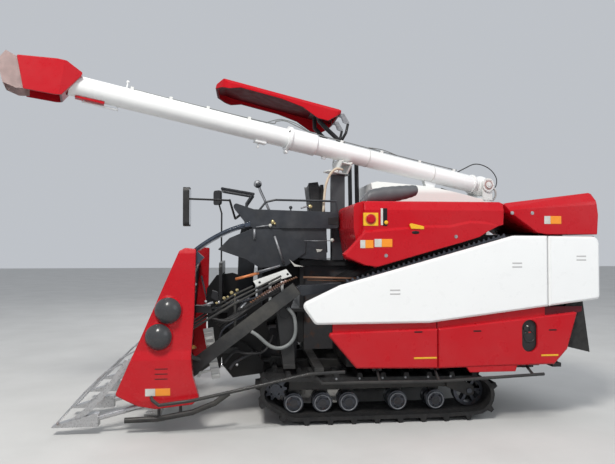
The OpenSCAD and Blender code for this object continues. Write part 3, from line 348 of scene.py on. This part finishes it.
def smooth_path(points, steps):
    """Catmull-Rom line through the points, with that many steps between two of them."""
    points = [Vector(p) for p in points]
    if steps == 1:
        return points
    ends = [2 * points[0] - points[1]] + points + [2 * points[-1] - points[-2]]
    line = []
    for a, b, c, d in zip(ends, ends[1:], ends[2:], ends[3:]):
        for k in range(steps):
            t = k / steps
            line.append(0.5 * (2 * b + (c - a) * t + (2 * a - 5 * b + 4 * c - d) * t ** 2
                               + (3 * b - a - 3 * c + d) * t ** 3))
    return line + [points[-1]]


class Shape:
    """Closed forms, drawn in millimetres, that end up in one object."""

    def __init__(self, place=None):
        self.bm = bmesh.new()
        self.place = place or Matrix()

    def skin(self, rings, smooth=True):
        """Closed form whose sections are these rings."""
        rows = [[self.bm.verts.new(p) for p in ring] for ring in rings]
        for a, b in zip(rows, rows[1:]):
            for i in range(len(a)):
                j = (i + 1) % len(a)
                self.bm.faces.new((a[i], a[j], b[j], b[i])).smooth = smooth
        self.bm.faces.new(rows[0][::-1])
        self.bm.faces.new(rows[-1])
        return self

    def tube(self, points, radius, sides=10, steps=1, squash=1.0):
        """Round bar or hose along a line; squash flattens it."""
        line = smooth_path(points, steps)
        side = None
        rings = []
        for i, p in enumerate(line):
            ahead = (line[min(i + 1, len(line) - 1)] - line[max(i - 1, 0)]).normalized()
            side = side or ahead.orthogonal()
            side = (side - ahead * side.dot(ahead)).normalized()
            other = ahead.cross(side)
            rings.append([p + (side * math.cos(t) + other * math.sin(t) * squash) * radius
                          for t in turns(sides)])
        return self.skin(rings)

    def slab(self, outline, y0, y1):
        """Plate with an outline seen from the left."""
        return self.skin([[(x, y, z) for x, z in outline] for y in (y0, y1)], False)

    def box(self, x0, x1, y0, y1, z0, z1):
        return self.slab(oblong(x0, x1, z0, z1), y0, y1)

    def disc(self, centre, axis, radius, height, sides=18):
        """Short cylinder that stands on its centre."""
        centre = Vector(centre)
        return self.tube([centre, centre + Vector(axis).normalized() * height], radius, sides)

    def ball(self, centre, radius, squash=(1, 1, 1), segments=14):
        made = bmesh.ops.create_uvsphere(
            self.bm, u_segments=segments, v_segments=segments // 2 + 1, radius=radius,
            matrix=Matrix.Translation(centre) @ Matrix.Diagonal((*squash, 1)))
        for v in made["verts"]:
            for face in v.link_faces:
                face.smooth = True
        return self

    def hoop(self, centre, axis, major, minor, parts=28, sides=8):
        """Closed ring."""
        axis = Vector(axis).normalized()
        u = axis.orthogonal().normalized()
        v = axis.cross(u)
        rows = []
        for t in turns(parts):
            out = u * math.cos(t) + v * math.sin(t)
            rows.append([self.bm.verts.new(Vector(centre) + out * (major + minor * math.cos(s))
                                           + axis * minor * math.sin(s)) for s in turns(sides)])
        for a, b in zip(rows, rows[1:] + rows[:1]):
            for i in range(sides):
                j = (i + 1) % sides
                self.bm.faces.new((a[i], a[j], b[j], b[i])).smooth = True
        return self

    def done(self, name, look, body="base"):
        """Makes the object and ties it to its body, or to none when no body is given."""
        bmesh.ops.recalc_face_normals(self.bm, faces=self.bm.faces)
        self.bm.transform(self.place @ Matrix.Scale(MM, 4))
        mesh = bpy.data.meshes.new(name)
        self.bm.to_mesh(mesh)
        self.bm.free()
        mesh.materials.append(MAT[look])
        obj = bpy.data.objects.new(name, mesh)
        bpy.context.collection.objects.link(obj)
        if body:
            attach(obj, body)
        return obj


def bow(a, middle, b, steps):
    """Curve from a to b that leans towards the middle point."""
    line = []
    for k in range(steps + 1):
        t = k / steps
        line.append(tuple((1 - t) ** 2 * p + 2 * t * (1 - t) * q + t * t * r
                          for p, q, r in zip(a, middle, b)))
    return line


def skin_y(node, x, z):
    """Outermost left surface of a node at a place, in millimetres."""
    far_left = 2.0
    hit, place, _, _ = NODES[node].ray_cast((x * MM, far_left, z * MM), -Vector(LEFT))
    if not hit:
        raise ValueError(f"{node} has no surface at {x}, {z}")
    return place.y / MM


def patch(shape, node, outline, proud=1.5, sunk=5):
    """Thin plate that lies on a node's left surface."""
    depths = [skin_y(node, x, z) for x, z in outline]
    return shape.skin([[(x, y + out, z) for (x, z), y in zip(outline, depths)]
                       for out in (-sunk, proud)], False)


def bolt(shape, node, x, z, radius=9, height=6):
    """Hexagon head on a washer, on a node's left surface."""
    y = skin_y(node, x, z)
    shape.disc((x, y - 3, z), LEFT, radius * 1.5, 5, 14)
    shape.disc((x, y, z), LEFT, radius, height, 6)


def make_covers():
    """Blank plates, strips, latches, slots, bolts and a lip on the left covers."""
    for name, node, box, split in (
            ("plate_blank_drum_front", "drum_cover", (-389, -487, 1307, 1366), 0.38),
            ("plate_blank_drum_rear", "drum_cover", (-495, -628, 1315, 1374), 0.4),
            ("plate_blank_straw", "straw_cover", (-1800, -1935, 1489, 1549), 0.36),
            ("plate_blank_header", "header_side_left", (1139, 967, 273, 324), 0.4)):
        x0, x1, z0, z1 = box
        middle = x0 + (x1 - x0) * split
        body = "header" if node == "header_side_left" else "base"
        patch(Shape(), node, oblong(x0, middle, z0, z1)).done(name + "_pale", "pale", body)
        patch(Shape(), node, oblong(middle, x1, z0, z1)).done(name, "orange", body)
    strips = Shape()
    patch(strips, "side_cover_lower_rear", oblong(-1770, -1905, 494, 507))
    patch(strips, "side_cover_lower_front", oblong(-789, -962, 492, 505))
    strips.done("strips_yellow", "yellow")
    marks = Shape()
    for node, x, z in (("side_cover_upper", -648, 985), ("side_cover_upper", -1584, 1180)):
        for dz in (-14, 14):
            patch(marks, node, oblong(x - 38, x + 38, z + dz - 5, z + dz + 5), 1)
    marks.done("cover_latches", "mark_grey")
    marks = Shape()
    for dz in (-14, 14):
        patch(marks, "side_cover_rear", oblong(-2131, -2055, 1231 + dz - 5, 1231 + dz + 5), 1)
    marks.done("rear_cover_latch", "mark_grey", "cutter")
    # The slots are near-black plates on the surface: painted shade for the inside of the openings.
    slots = Shape()
    for node, x, z in (("side_cover_lower_front", -823, 690), ("side_cover_lower_rear", -1273, 690),
                       ("side_cover_lower_rear", -1862, 690)):
        patch(slots, node, oblong(x - 30, x + 30, z - 5, z + 5), 1)
    for z in (390, 425, 460):
        patch(slots, "header_side_left", oblong(1074, 986, z - 3, z + 3), 1)
    slots.done("cover_slots", "housing")
    bolts = Shape()
    for node, x, z in (("drum_cover", -581, 1252), ("drum_cover", -1111, 1392),
                       ("straw_cover", -1548, 1571), ("straw_cover", -1706, 1571)):
        bolt(bolts, node, x, z)
    bolts.done("cover_bolts", "bare")
    lip = Shape().slab([(-1177, 446), (-1218, 384), (-1570, 384), (-1590, 446)], 800, 832)
    lip.done("cover_lip", "red")


def make_stop_controls():
    """Emergency stop button, clutch lever and pull handle on the drum cover."""
    y = skin_y("drum_cover", -470, 1480)
    Shape().box(-527, -416, y - 12, y + 2, 1471, 1567).done("stop_plate", "yellow")
    button = Shape()
    button.disc((-471, y, 1520), LEFT, 34, 8, 22)
    button.disc((-471, y + 7, 1520), LEFT, 26, 7, 22)
    button.done("stop_button", "red")
    Shape().hoop((-471, y + 3, 1520), LEFT, 36, 4).done("stop_ring", "copper")
    lever = skin_y("drum_cover", -573, 1500)
    Shape().box(-562, -546, lever - 8, lever + 3, 1476, 1600).done("lever_scale", "pale")
    # The lever's slot is a near-black strip: painted shade for the opening.
    Shape().box(-594, -564, lever - 8, lever + 2, 1470, 1601).done("lever_slot", "housing")
    Shape().ball((-586, lever + 3, 1496), 15, (1, 0.6, 1)).done("lever_knob", "yellow")
    handle = skin_y("drum_cover", -812, 1440)
    # The handle's hollow is a near-black ball: painted shade for the inside of the recess.
    Shape().ball((-803, handle - 30, 1422), 58, (1, 0.62, 0.42)).done("handle_hollow", "housing")
    grip = Shape().slab([(-758, 1478), (-770, 1490), (-866, 1468), (-866, 1446), (-770, 1450)],
                        handle - 20, handle + 4)
    grip.done("pull_handle", "yellow")


def make_lamp():
    """Lenses and rim of the side lamp."""
    lens = Shape()
    lens.ball((-1706, 812, 700), 20, (1, 0.7, 1))
    lens.ball((-1672, 812, 716), 13, (1, 0.7, 1))
    lens.done("lamp_lens", "lamp_clear")
    Shape().ball((-1690, 812, 676), 17, (1.3, 0.6, 0.8)).done("lamp_lens_red", "lamp_red")
    Shape().hoop((-1690, 818, 640), LEFT, 42, 7, 26, 6).done("lamp_rim", "black")


def make_track_details():
    """Hubs, rims and bolts of the rollers, and the metal cores that show along the upper run."""
    y_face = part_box("track_wheels_left")[1][1] / MM
    y_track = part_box("track_left")[1][1] / MM
    rollers = (80, -140, -340, -720, -1020)
    axle_z, bolt_circle = 134, 45
    core_x, core_z, core_pitch = -228, 338, 174.5
    for side, name in ((1, "left"), (-1, "right")):
        hubs = Shape()
        rims = Shape()
        bolts = Shape()
        for x in rollers:
            for radius, out in ((30, 3), (14, 7)):
                hubs.disc((x, side * (y_face - 12), axle_z), (0, side, 0), radius, 12 + out, 20)
            rims.hoop((x, side * (y_face - 1), axle_z), LEFT, 60, 5, 30, 6)
            for t in turns(5):
                place = (x + bolt_circle * math.cos(t), side * (y_face - 6),
                         axle_z + bolt_circle * math.sin(t))
                bolts.disc(place, (0, side, 0), 6, 9, 6)
        studs = Shape()
        for k in range(6):
            studs.disc((core_x - core_pitch * k, side * (y_track - 4), core_z),
                       (0, side, 0), 8, 6, 10)
        studs.done(f"lug_cores_{name}", "zinc")
        hubs.done(f"roller_hubs_{name}", "cast")
        rims.done(f"roller_rims_{name}", "zinc")
        bolts.done(f"roller_bolts_{name}", "cast")


def make_feed_rails():
    """Rails, rods and springs that lead the stalks, between the header panel and the body."""
    rail = Shape().tube([(518, 640, 1075), (440, 640, 1094), (344, 640, 1121)], 11)
    rail.done("feed_rail_orange", "copper", "header")
    rails = Shape()
    rails.tube([(344, 640, 1119), (188, 640, 1172)], 8)
    rails.tube([(598, 612, 895), (437, 612, 911)], 8)
    rails.tube([(536, 612, 785), (470, 612, 880), (412, 612, 933)], 8, 8, 4)
    rails.tube([(684, 612, 849), (337, 640, 945)], 7)
    rails.tube([(771, 600, 1098), (727, 600, 905)], 6)
    rails.tube([(430, 560, 800), (600, 560, 700), (640, 560, 610)], 8, 8, 4)
    rails.done("stalk_rods", "steel", "header")
    guides = Shape()
    for start, end, radius in (((584, 620, 890), (435, 620, 925), 7),
                               ((548, 620, 776), (435, 620, 903), 8),
                               ((364, 662, 1127), (185, 662, 1176), 6),
                               ((751, 662, 882), (681, 662, 906), 9),
                               ((470, 600, 640), (352, 600, 760), 6)):
        guides.tube([start, end], radius)
    guides.done("stalk_guides", "zinc", "header")
    springs = Shape()
    for start, end, coils in ((Vector((470, 610, 722)), Vector((174, 610, 899)), 15),
                              (Vector((322, 690, 959)), Vector((138, 700, 1064)), 11)):
        springs.tube([start, end], 7)
        for k in range(coils):
            springs.hoop(start.lerp(end, (k + 0.5) / coils), end - start, 11, 4, 12, 6)
    springs.done("feed_springs", "rusty", "header")
    plate = Shape()
    plate.slab([(770, 340), (360, 380), (344, 700), (356, 1010), (560, 1080), (700, 1060),
                (790, 940)], -306, -296)
    plate.done("conveyor_back_plate", "housing", "header")


def make_header_hoses():
    """Hoses of the header, with their fittings."""
    fitting_y = 655
    fittings = Shape()
    for x, z, r in ((655, 900, 10), (600, 935, 13), (573, 945, 9), (545, 975, 14), (505, 995, 12),
                    (520, 960, 8)):
        fittings.ball((x, fitting_y, z), r)
        fittings.disc((x, fitting_y, z), (0.3, 1, 0.2), r * 0.6, r + 6, 8)
    fittings.done("hose_fittings", "brass", "header")
    pale = Shape()
    for x, y, z in ((820, fitting_y, 985), (811, fitting_y, 1040), (640, fitting_y, 905),
                    (505, 600, 430), (735, fitting_y, 912)):
        pale.ball((x, y, z), 11)
    pale.done("pale_fittings", "bare", "header")
    hose = Shape().tube([(400, 665, 687), (351, 668, 655), (264, 668, 580), (190, 668, 560),
                         (116, 668, 590), (72, 668, 663), (78, 668, 787), (128, 668, 862)],
                        14, 12, 5)
    hose.done("header_hose", "grey_hose", "header")
    hoses = Shape()
    for k in range(5):
        hoses.tube([(700 - 20 * k, 660 - 16 * k, 790 - 22 * k),
                    (560 - 12 * k, 676 - 14 * k, 770 + 16 * k),
                    (430, 650 - 12 * k, 850 + 12 * k), (300 - 14 * k, 664, 930 + 12 * k),
                    (180, 672 - 10 * k, 985 + 14 * k)], 8, 8, 5)
    hoses.tube([(600, 560, 440), (520, 560, 520), (430, 560, 505), (300, 560, 520),
                (230, 560, 640)], 9, 8, 5)
    hoses.done("header_hoses", "hose", "header")


def make_header_inside():
    """Front feed chain, arch ridge, lower guide pipe and shields behind the header panel."""
    chain = Shape()
    start, end = Vector((401, 700, 905)), Vector((69, 716, 1087))
    links, arch = 22, 14
    for k in range(links):
        p = start.lerp(end, k / (links - 1))
        p.z += arch * math.sin(math.pi * k / (links - 1))
        chain.tube([p - Vector((7, 4, 0)), p + Vector((7, 4, 6))], 6, 6)
    chain.done("feed_chain_front", "brown", "header")
    crest = bow((812, 1288), (630, 1435), (412, 1485), 12)[:-1]
    Shape().tube([(x, 784, z) for x, z in crest], 7).done("arch_ridge", "gloss", "header")
    block = Shape()
    block.slab([(684, 819), (813, 830), (813, 881), (700, 876)], 560, 640)
    block.slab([(640, 905), (700, 935), (690, 990), (650, 975)], 560, 630)
    block.done("guide_block", "black_paint", "header")
    pipe = Shape().tube([(562, 520, 380), (524, 520, 430), (436, 520, 479), (385, 520, 503)],
                        12, 10, 4)
    pipe.done("lower_guide_pipe", "cast", "header")
    shield = Shape().slab([(640, 500), (487, 502), (500, 546), (630, 542)], 505, 512)
    shield.done("lower_shield", "frame", "header")
    dark = Shape()
    dark.slab([(640, 640), (430, 560), (300, 420), (300, 330), (540, 300), (620, 400)],
              420, 440)
    dark.slab([(560, 900), (330, 900), (250, 620), (330, 480), (470, 560), (600, 700)],
              380, 400)
    dark.done("chain_case_inner", "housing", "header")


def make_body_front():
    """Feed duct and rails in front of the thresher, knobs and rods on the console beside it."""
    duct = Shape()
    duct.slab([(86, 955), (75, 1000), (30, 1020), (-290, 1040), (-290, 985), (0, 945)], 520, 620)
    duct.done("feed_duct", "dark")
    lines = Shape()
    lines.tube([(20, 752, 1092), (-200, 752, 1086), (-415, 752, 1078)], 8)
    lines.tube([(-12, 740, 1072), (-300, 742, 1062)], 5)
    lines.done("feed_rail_rear", "brown")
    pale = Shape().slab([(104, 1218), (65, 1162), (-10, 1162), (60, 1180)], 500, 506)
    pale.slab([(-140, 1296), (-196, 1292), (-180, 1276), (-150, 1270)], 200, 206)
    pale.done("guide_plates", "pale")
    knobs = Shape()
    knobs.ball((-277, 200, 1369), 17)
    knobs.ball((239, 158, 1493), 15)
    knobs.done("pale_knobs", "pale")
    gold = Shape()
    gold.ball((218, 160, 1522), 16, (1, 0.7, 1.2))
    gold.ball((200, 160, 1508), 11)
    gold.ball((-103, 100, 1656), 16, (1.2, 0.7, 1.2))
    gold.done("brass_knobs", "brass")
    rods = Shape()
    rods.tube([(-277, 200, 1366), (-130, 190, 1364), (-43, 160, 1368)], 3, 6)
    rods.tube([(239, 158, 1493), (300, 156, 1487), (356, 152, 1478)], 6, 8)
    rods.tube([(-20, 150, 1640), (-70, 130, 1655), (-95, 104, 1640)], 7, 8, 3)
    rods.tube([(202, 151.2, 1405), (125, 151.2, 1170)], 10)
    rods.tube([(370, 150, 1464), (370, 150, 1378)], 11)
    rods.done("console_rods", "zinc")
    hose = Shape().tube([(-215, 90, 1598), (-236, 60, 1803), (-262, 58, 1900), (-297, 58, 1960),
                         (-340, 50, 1990), (-398, 20, 1985)], 11, 10, 5)
    hose.done("saddle_hose", "beige_hose")
    cap = Shape().slab([(-340, 1500), (-250, 1506), (-250, 1560), (-340, 1570)], 151, 153)
    cap.done("console_cap", "black")
    wall = Shape().slab([(60, 760), (322, 760), (322, 1250), (-60, 1250), (-60, 1100)], -40, -34)
    wall.done("footwell_wall", "housing")


def make_return_duct():
    """Flat grey duct that lies on top of the drum cover, ribbed across."""
    # Each station is its place along X, its middle's height and its half height.
    stations = [(-500, 1672, 30), (-519, 1692, 34), (-548, 1712, 50), (-578, 1727, 58),
                (-678, 1743, 65), (-789, 1755, 64), (-880, 1768, 57), (-951, 1781, 47),
                (-972, 1784, 34), (-980, 1785, 20)]
    middle_y, widest, rib_height, rib_phase = 300, 58, 1.6, 1.6
    rings = []
    for k, (x, z, half) in enumerate(smooth_path(stations, 6)):
        half += rib_height * math.sin(k * rib_phase)
        wide = min(widest, half * 1.05)
        rings.append([(x, middle_y + wide * math.cos(t), z + half * math.sin(t))
                      for t in turns(24)])
    duct = Shape().skin(rings).done("return_duct_cover", "grey")
    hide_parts("return_duct")


def make_lever_grip():
    """Pale blade and grip of the main lever on the console."""
    grip = Shape()
    grip.ball((341, 40, 1850), 36, (1.0, 0.62, 0.95))
    grip.tube([(330, 40, 1832), (318, 40, 1790), (296, 40, 1745), (268, 40, 1684),
               (240, 40, 1618)], 13, 10, 4, 0.7)
    grip.done("lever_grip", "zinc")


def make_canopy_stays():
    """Stays and hinge plates that tie the rear of the canopy to its two posts."""
    stays = Shape()
    plates = Shape()
    for y in (-290, -640):
        stays.tube([(-430, y, 2281), (-480, y, 2370), (-498, y, 2452)], 13, 10)
        plates.slab([(-394, 2544), (-462, 2546), (-510, 2464), (-505, 2440), (-451, 2463),
                     (-433, 2509), (-394, 2517)], y - 6, y + 6)
    stays.done("canopy_stays", "frame")
    plates.done("canopy_hinge_plates", "zinc")


# Places of the auger's turret and tube: the tube lies along its own X.
AUGER_ROOT = Vector((-1.817, -0.428, 1.9))
AUGER_YAW = math.radians(15)
AUGER_PITCH = math.radians(9.7)
TURRET = Matrix.Translation(AUGER_ROOT) @ Matrix.Rotation(AUGER_YAW, 4, "Z")
AUGER = TURRET @ Matrix.Rotation(-AUGER_PITCH, 4, "Y")


def make_auger_details():
    """Cable, clips, sight holes, seams and plate on the grain auger's tube."""
    cable = Shape(AUGER)
    cable.tube([(300, 20, 92), (900, 22, 88), (1500, 20, 90), (1800, 18, 96), (1930, 16, 118),
                (2049, 14, 140), (2130, 14, 118), (2200, 16, 88), (2800, 20, 80),
                (3340, 20, 78)], 5, 8, 5)
    cable.tube([(1780, -8, 92), (1880, -10, 128), (1960, -8, 150), (2080, -10, 152),
                (2160, -8, 118), (2210, -6, 88)], 4, 8, 4)
    cable.tube([(960, 30, 86), (1100, 24, 104), (1250, 30, 92)], 4, 8, 4)
    cable.done("auger_cable", "grey_hose", "auger")
    pads = Shape(AUGER)
    for s in (320, 700, 1100, 1500, 2350, 2700, 3000, 3300):
        pads.slab([(s, 70), (s + 26, 70), (s + 26, 94), (s, 94)], 8, 34)
    pads.done("auger_cable_clips", "offwhite", "auger")
    # The sight holes are near-black discs: painted shade for the inside of the tube.
    hole = Shape(AUGER)
    hole.disc((1853, 60, 0), LEFT, 13, 24, 16)
    hole.disc((2010, 60, 48), LEFT, 9, 26, 12)
    hole.done("auger_sight_hole", "housing", "auger")
    rings = Shape(AUGER)
    for s in (560, 1240):
        rings.tube([(s, 0, 0), (s + 10, 0, 0)], 81.5, 36)
    rings.done("auger_seams", "offwhite", "auger")
    plate = Shape(AUGER).slab([(3490, -92), (3700, -92), (3700, -80), (3490, -72)], -30, 40)
    plate.done("auger_underside_plate", "red", "auger")


def make_turret_details():
    """Hose, cable loop, end disc and bolts at the auger's turret."""
    hose = Shape(TURRET)
    hose.tube([(-52, 116, -10), (-92, 112, -42), (-120, 84, -96), (-112, 50, -140)], 11, 10, 5)
    hose.done("turret_hose", "offwhite", "auger_base")
    loop = Shape().tube([(-1560, -352, 2022), (-1640, -366, 2062), (-1742, -380, 2107),
                         (-1833, -384, 2098), (-1913, -380, 2051), (-1958, -366, 1975),
                         (-1948, -350, 1900), (-1905, -337, 1852)], 5, 8, 5)
    loop = loop.done("auger_cable_loop", "hose", None)
    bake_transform(loop)
    disc = Shape(TURRET)
    disc.disc((0, 130, 0), LEFT, 46, 8, 26)
    disc.done("turret_disc", "rusty", "auger_base")
    bolt_circle = 56
    heads = Shape(TURRET)
    for t in turns(6):
        heads.disc((bolt_circle * math.cos(t), 132, bolt_circle * math.sin(t)), LEFT, 6, 8, 6)
    heads.disc((0, 136, 0), LEFT, 16, 12, 12)
    heads.done("turret_bolts", "offwhite", "auger_base")


def make_cushion(name, centre, size, lean, body="base"):
    """Crowned cushion whose sides pull in between its corners, with sewn channels."""
    side_pull, end_pull = 0.07, 0.05
    cross_channels, cross_depth = (-0.38, 0.38), 0.1
    rim_channel, rim_depth, channel_width = 0.62, 0.07, 0.06
    bm = bmesh.new()
    bmesh.ops.create_cube(bm, size=2.0)
    bmesh.ops.subdivide_edges(bm, edges=bm.edges[:], cuts=9, use_grid_fill=True)
    half = Vector(size) / 2
    for v in bm.verts:
        x, y, z = v.co
        pull = 1 - side_pull * (1 - y ** 2) * x ** 4 - end_pull * (1 - x ** 2) * y ** 4
        inside = max((1 - x ** 6) * (1 - y ** 6), 0.0)
        crown = 0.62 + 0.38 * inside ** 0.35
        channel = sum(cross_depth * math.exp(-((x - c) / channel_width) ** 2)
                      for c in cross_channels)
        channel += rim_depth * math.exp(-((abs(y) - rim_channel) / channel_width) ** 2)
        lift = (crown - channel) if z > 0 else 0.8 + 0.2 * crown
        v.co = Vector((x * pull * half.x, y * pull * half.y, z * lift * half.z))
    bm.transform(Matrix.Translation(centre) @ Matrix.Rotation(lean, 4, "Y"))
    for face in bm.faces:
        face.smooth = True
    mesh = bpy.data.meshes.new(name)
    bm.to_mesh(mesh)
    bm.free()
    mesh.materials.append(MAT["vinyl"])
    obj = bpy.data.objects.new(name, mesh)
    bpy.context.collection.objects.link(obj)
    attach(obj, body)
    return obj


def make_seat():
    """Sprung seat: plinth, pan, cushion and back."""
    cushion = make_cushion("seat_cushion", (-0.06, -0.42, 1.297), (0.43, 0.412, 0.086), 0.0)
    back = make_cushion("seat_back", (-0.208, -0.42, 1.62), (0.56, 0.4, 0.11), math.radians(-83))
    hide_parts("seat")
    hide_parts("seat")
    base = Shape()
    base.box(-250, 60, -560, -280, 1201, 1240)
    base.box(-290, 140, -600, -240, 1238, 1262)
    base.slab([(-300, 1262), (-262, 1262), (-222, 1440), (-236, 1880), (-262, 1880),
               (-290, 1450)], -600, -240)
    base.done("seat_frame", "black")


def make_mirrors():
    """Glass in the rear faces of both mirror heads."""
    for name, place, turn, box in (("left", (0.8875, 0.3, 1.635), 0.0, (56, 142)),
                                   ("right", (0.7115, -0.756, 1.793), math.radians(38), (44, 60))):
        half_w, half_h = box
        glass = Shape(Matrix.Translation(place) @ Matrix.Rotation(turn, 4, "Z"))
        glass.box(-2, 2, -half_w, half_w, -half_h, half_h)
        glass.done(f"mirror_glass_{name}", "mirror")


make_covers()
make_stop_controls()
make_lamp()
make_track_details()
make_feed_rails()
make_header_hoses()
make_header_inside()
make_body_front()
make_return_duct()
make_lever_grip()
make_canopy_stays()
make_auger_details()
make_turret_details()
make_seat()
make_mirrors()

# Camera, worked out from points of the photo. Lengths in the picture are in its pixels.
CAMERA_PLACE = Vector((0.444, 5.087, 1.33))
CAMERA_YAW = math.radians(6.0)
PICTURE_WIDTH = 615.0
FOCAL_LENGTH = 590.0
HORIZON_BELOW_MIDDLE = 13.0
CAMERA_PITCH = math.atan2(HORIZON_BELOW_MIDDLE, FOCAL_LENGTH)
SENSOR = 36.0


def make_camera():
    """Camera that looks at the machine's left side, as in the photo."""
    data = bpy.data.cameras.new("camera")
    data.sensor_fit = "HORIZONTAL"
    data.sensor_width = SENSOR
    data.lens = SENSOR * (FOCAL_LENGTH / PICTURE_WIDTH)
    data.dof.use_dof = False
    cam = bpy.data.objects.new("camera", data)
    right = Vector((-math.cos(CAMERA_YAW), math.sin(CAMERA_YAW), 0))
    level = Vector((-math.sin(CAMERA_YAW), -math.cos(CAMERA_YAW), 0))
    ahead = level * math.cos(CAMERA_PITCH) + Vector((0, 0, math.sin(CAMERA_PITCH)))
    up = right.cross(ahead)
    cam.matrix_world = Matrix((right, up, -ahead)).transposed().to_4x4()
    cam.matrix_world.translation = CAMERA_PLACE
    bpy.context.collection.objects.link(cam)
    bpy.context.scene.camera = cam


def area_light(name, place, target, size, power, color):
    """Square lamp at a place, turned to its target."""
    data = bpy.data.lights.new(name, "AREA")
    data.energy = power
    data.size = size
    data.color = color
    lamp = bpy.data.objects.new(name, data)
    lamp.location = place
    lamp.rotation_euler = (Vector(target) - Vector(place)).to_track_quat("-Z", "Y").to_euler()
    bpy.context.collection.objects.link(lamp)


def make_stage():
    """Pale floor, sky and three lamps."""
    mesh = bpy.data.meshes.new("floor")
    reach = 30.0
    corners = [(-reach, -reach, 0), (reach, -reach, 0), (reach, reach, 0), (-reach, reach, 0)]
    mesh.from_pydata(corners, [], [(0, 1, 2, 3)])
    floor = bpy.data.objects.new("floor", mesh)
    floor.location.z = -MM
    bpy.context.collection.objects.link(floor)
    s = Shader("floor_pale")
    color = s.mix(s.ramp(s.noise(1.5, 5), 0.3, 0.7), (0.5, 0.5, 0.49), (0.56, 0.56, 0.55))
    mesh.materials.append(s.finish(color, 0.85))
    world = bpy.data.worlds.new("sky")
    world.use_nodes = True
    background = world.node_tree.nodes["Background"]
    background.inputs[0].default_value = (0.86, 0.9, 0.96, 1)
    background.inputs[1].default_value = 0.6
    bpy.context.scene.world = world
    area_light("key", (2.0, 5.5, 8.0), (-0.3, 0, 1.0), 2.0, 700, (1.0, 0.97, 0.92))
    area_light("fill", (-6.0, 4.5, 4.0), (-0.5, 0, 1.0), 4.0, 110, (0.92, 0.96, 1.0))
    area_light("back", (0.0, -7.0, 6.0), (0, 0, 1.2), 4.0, 130, (1.0, 1.0, 1.0))


make_camera()
make_stage()
bpy.context.scene.view_settings.view_transform = "Standard"
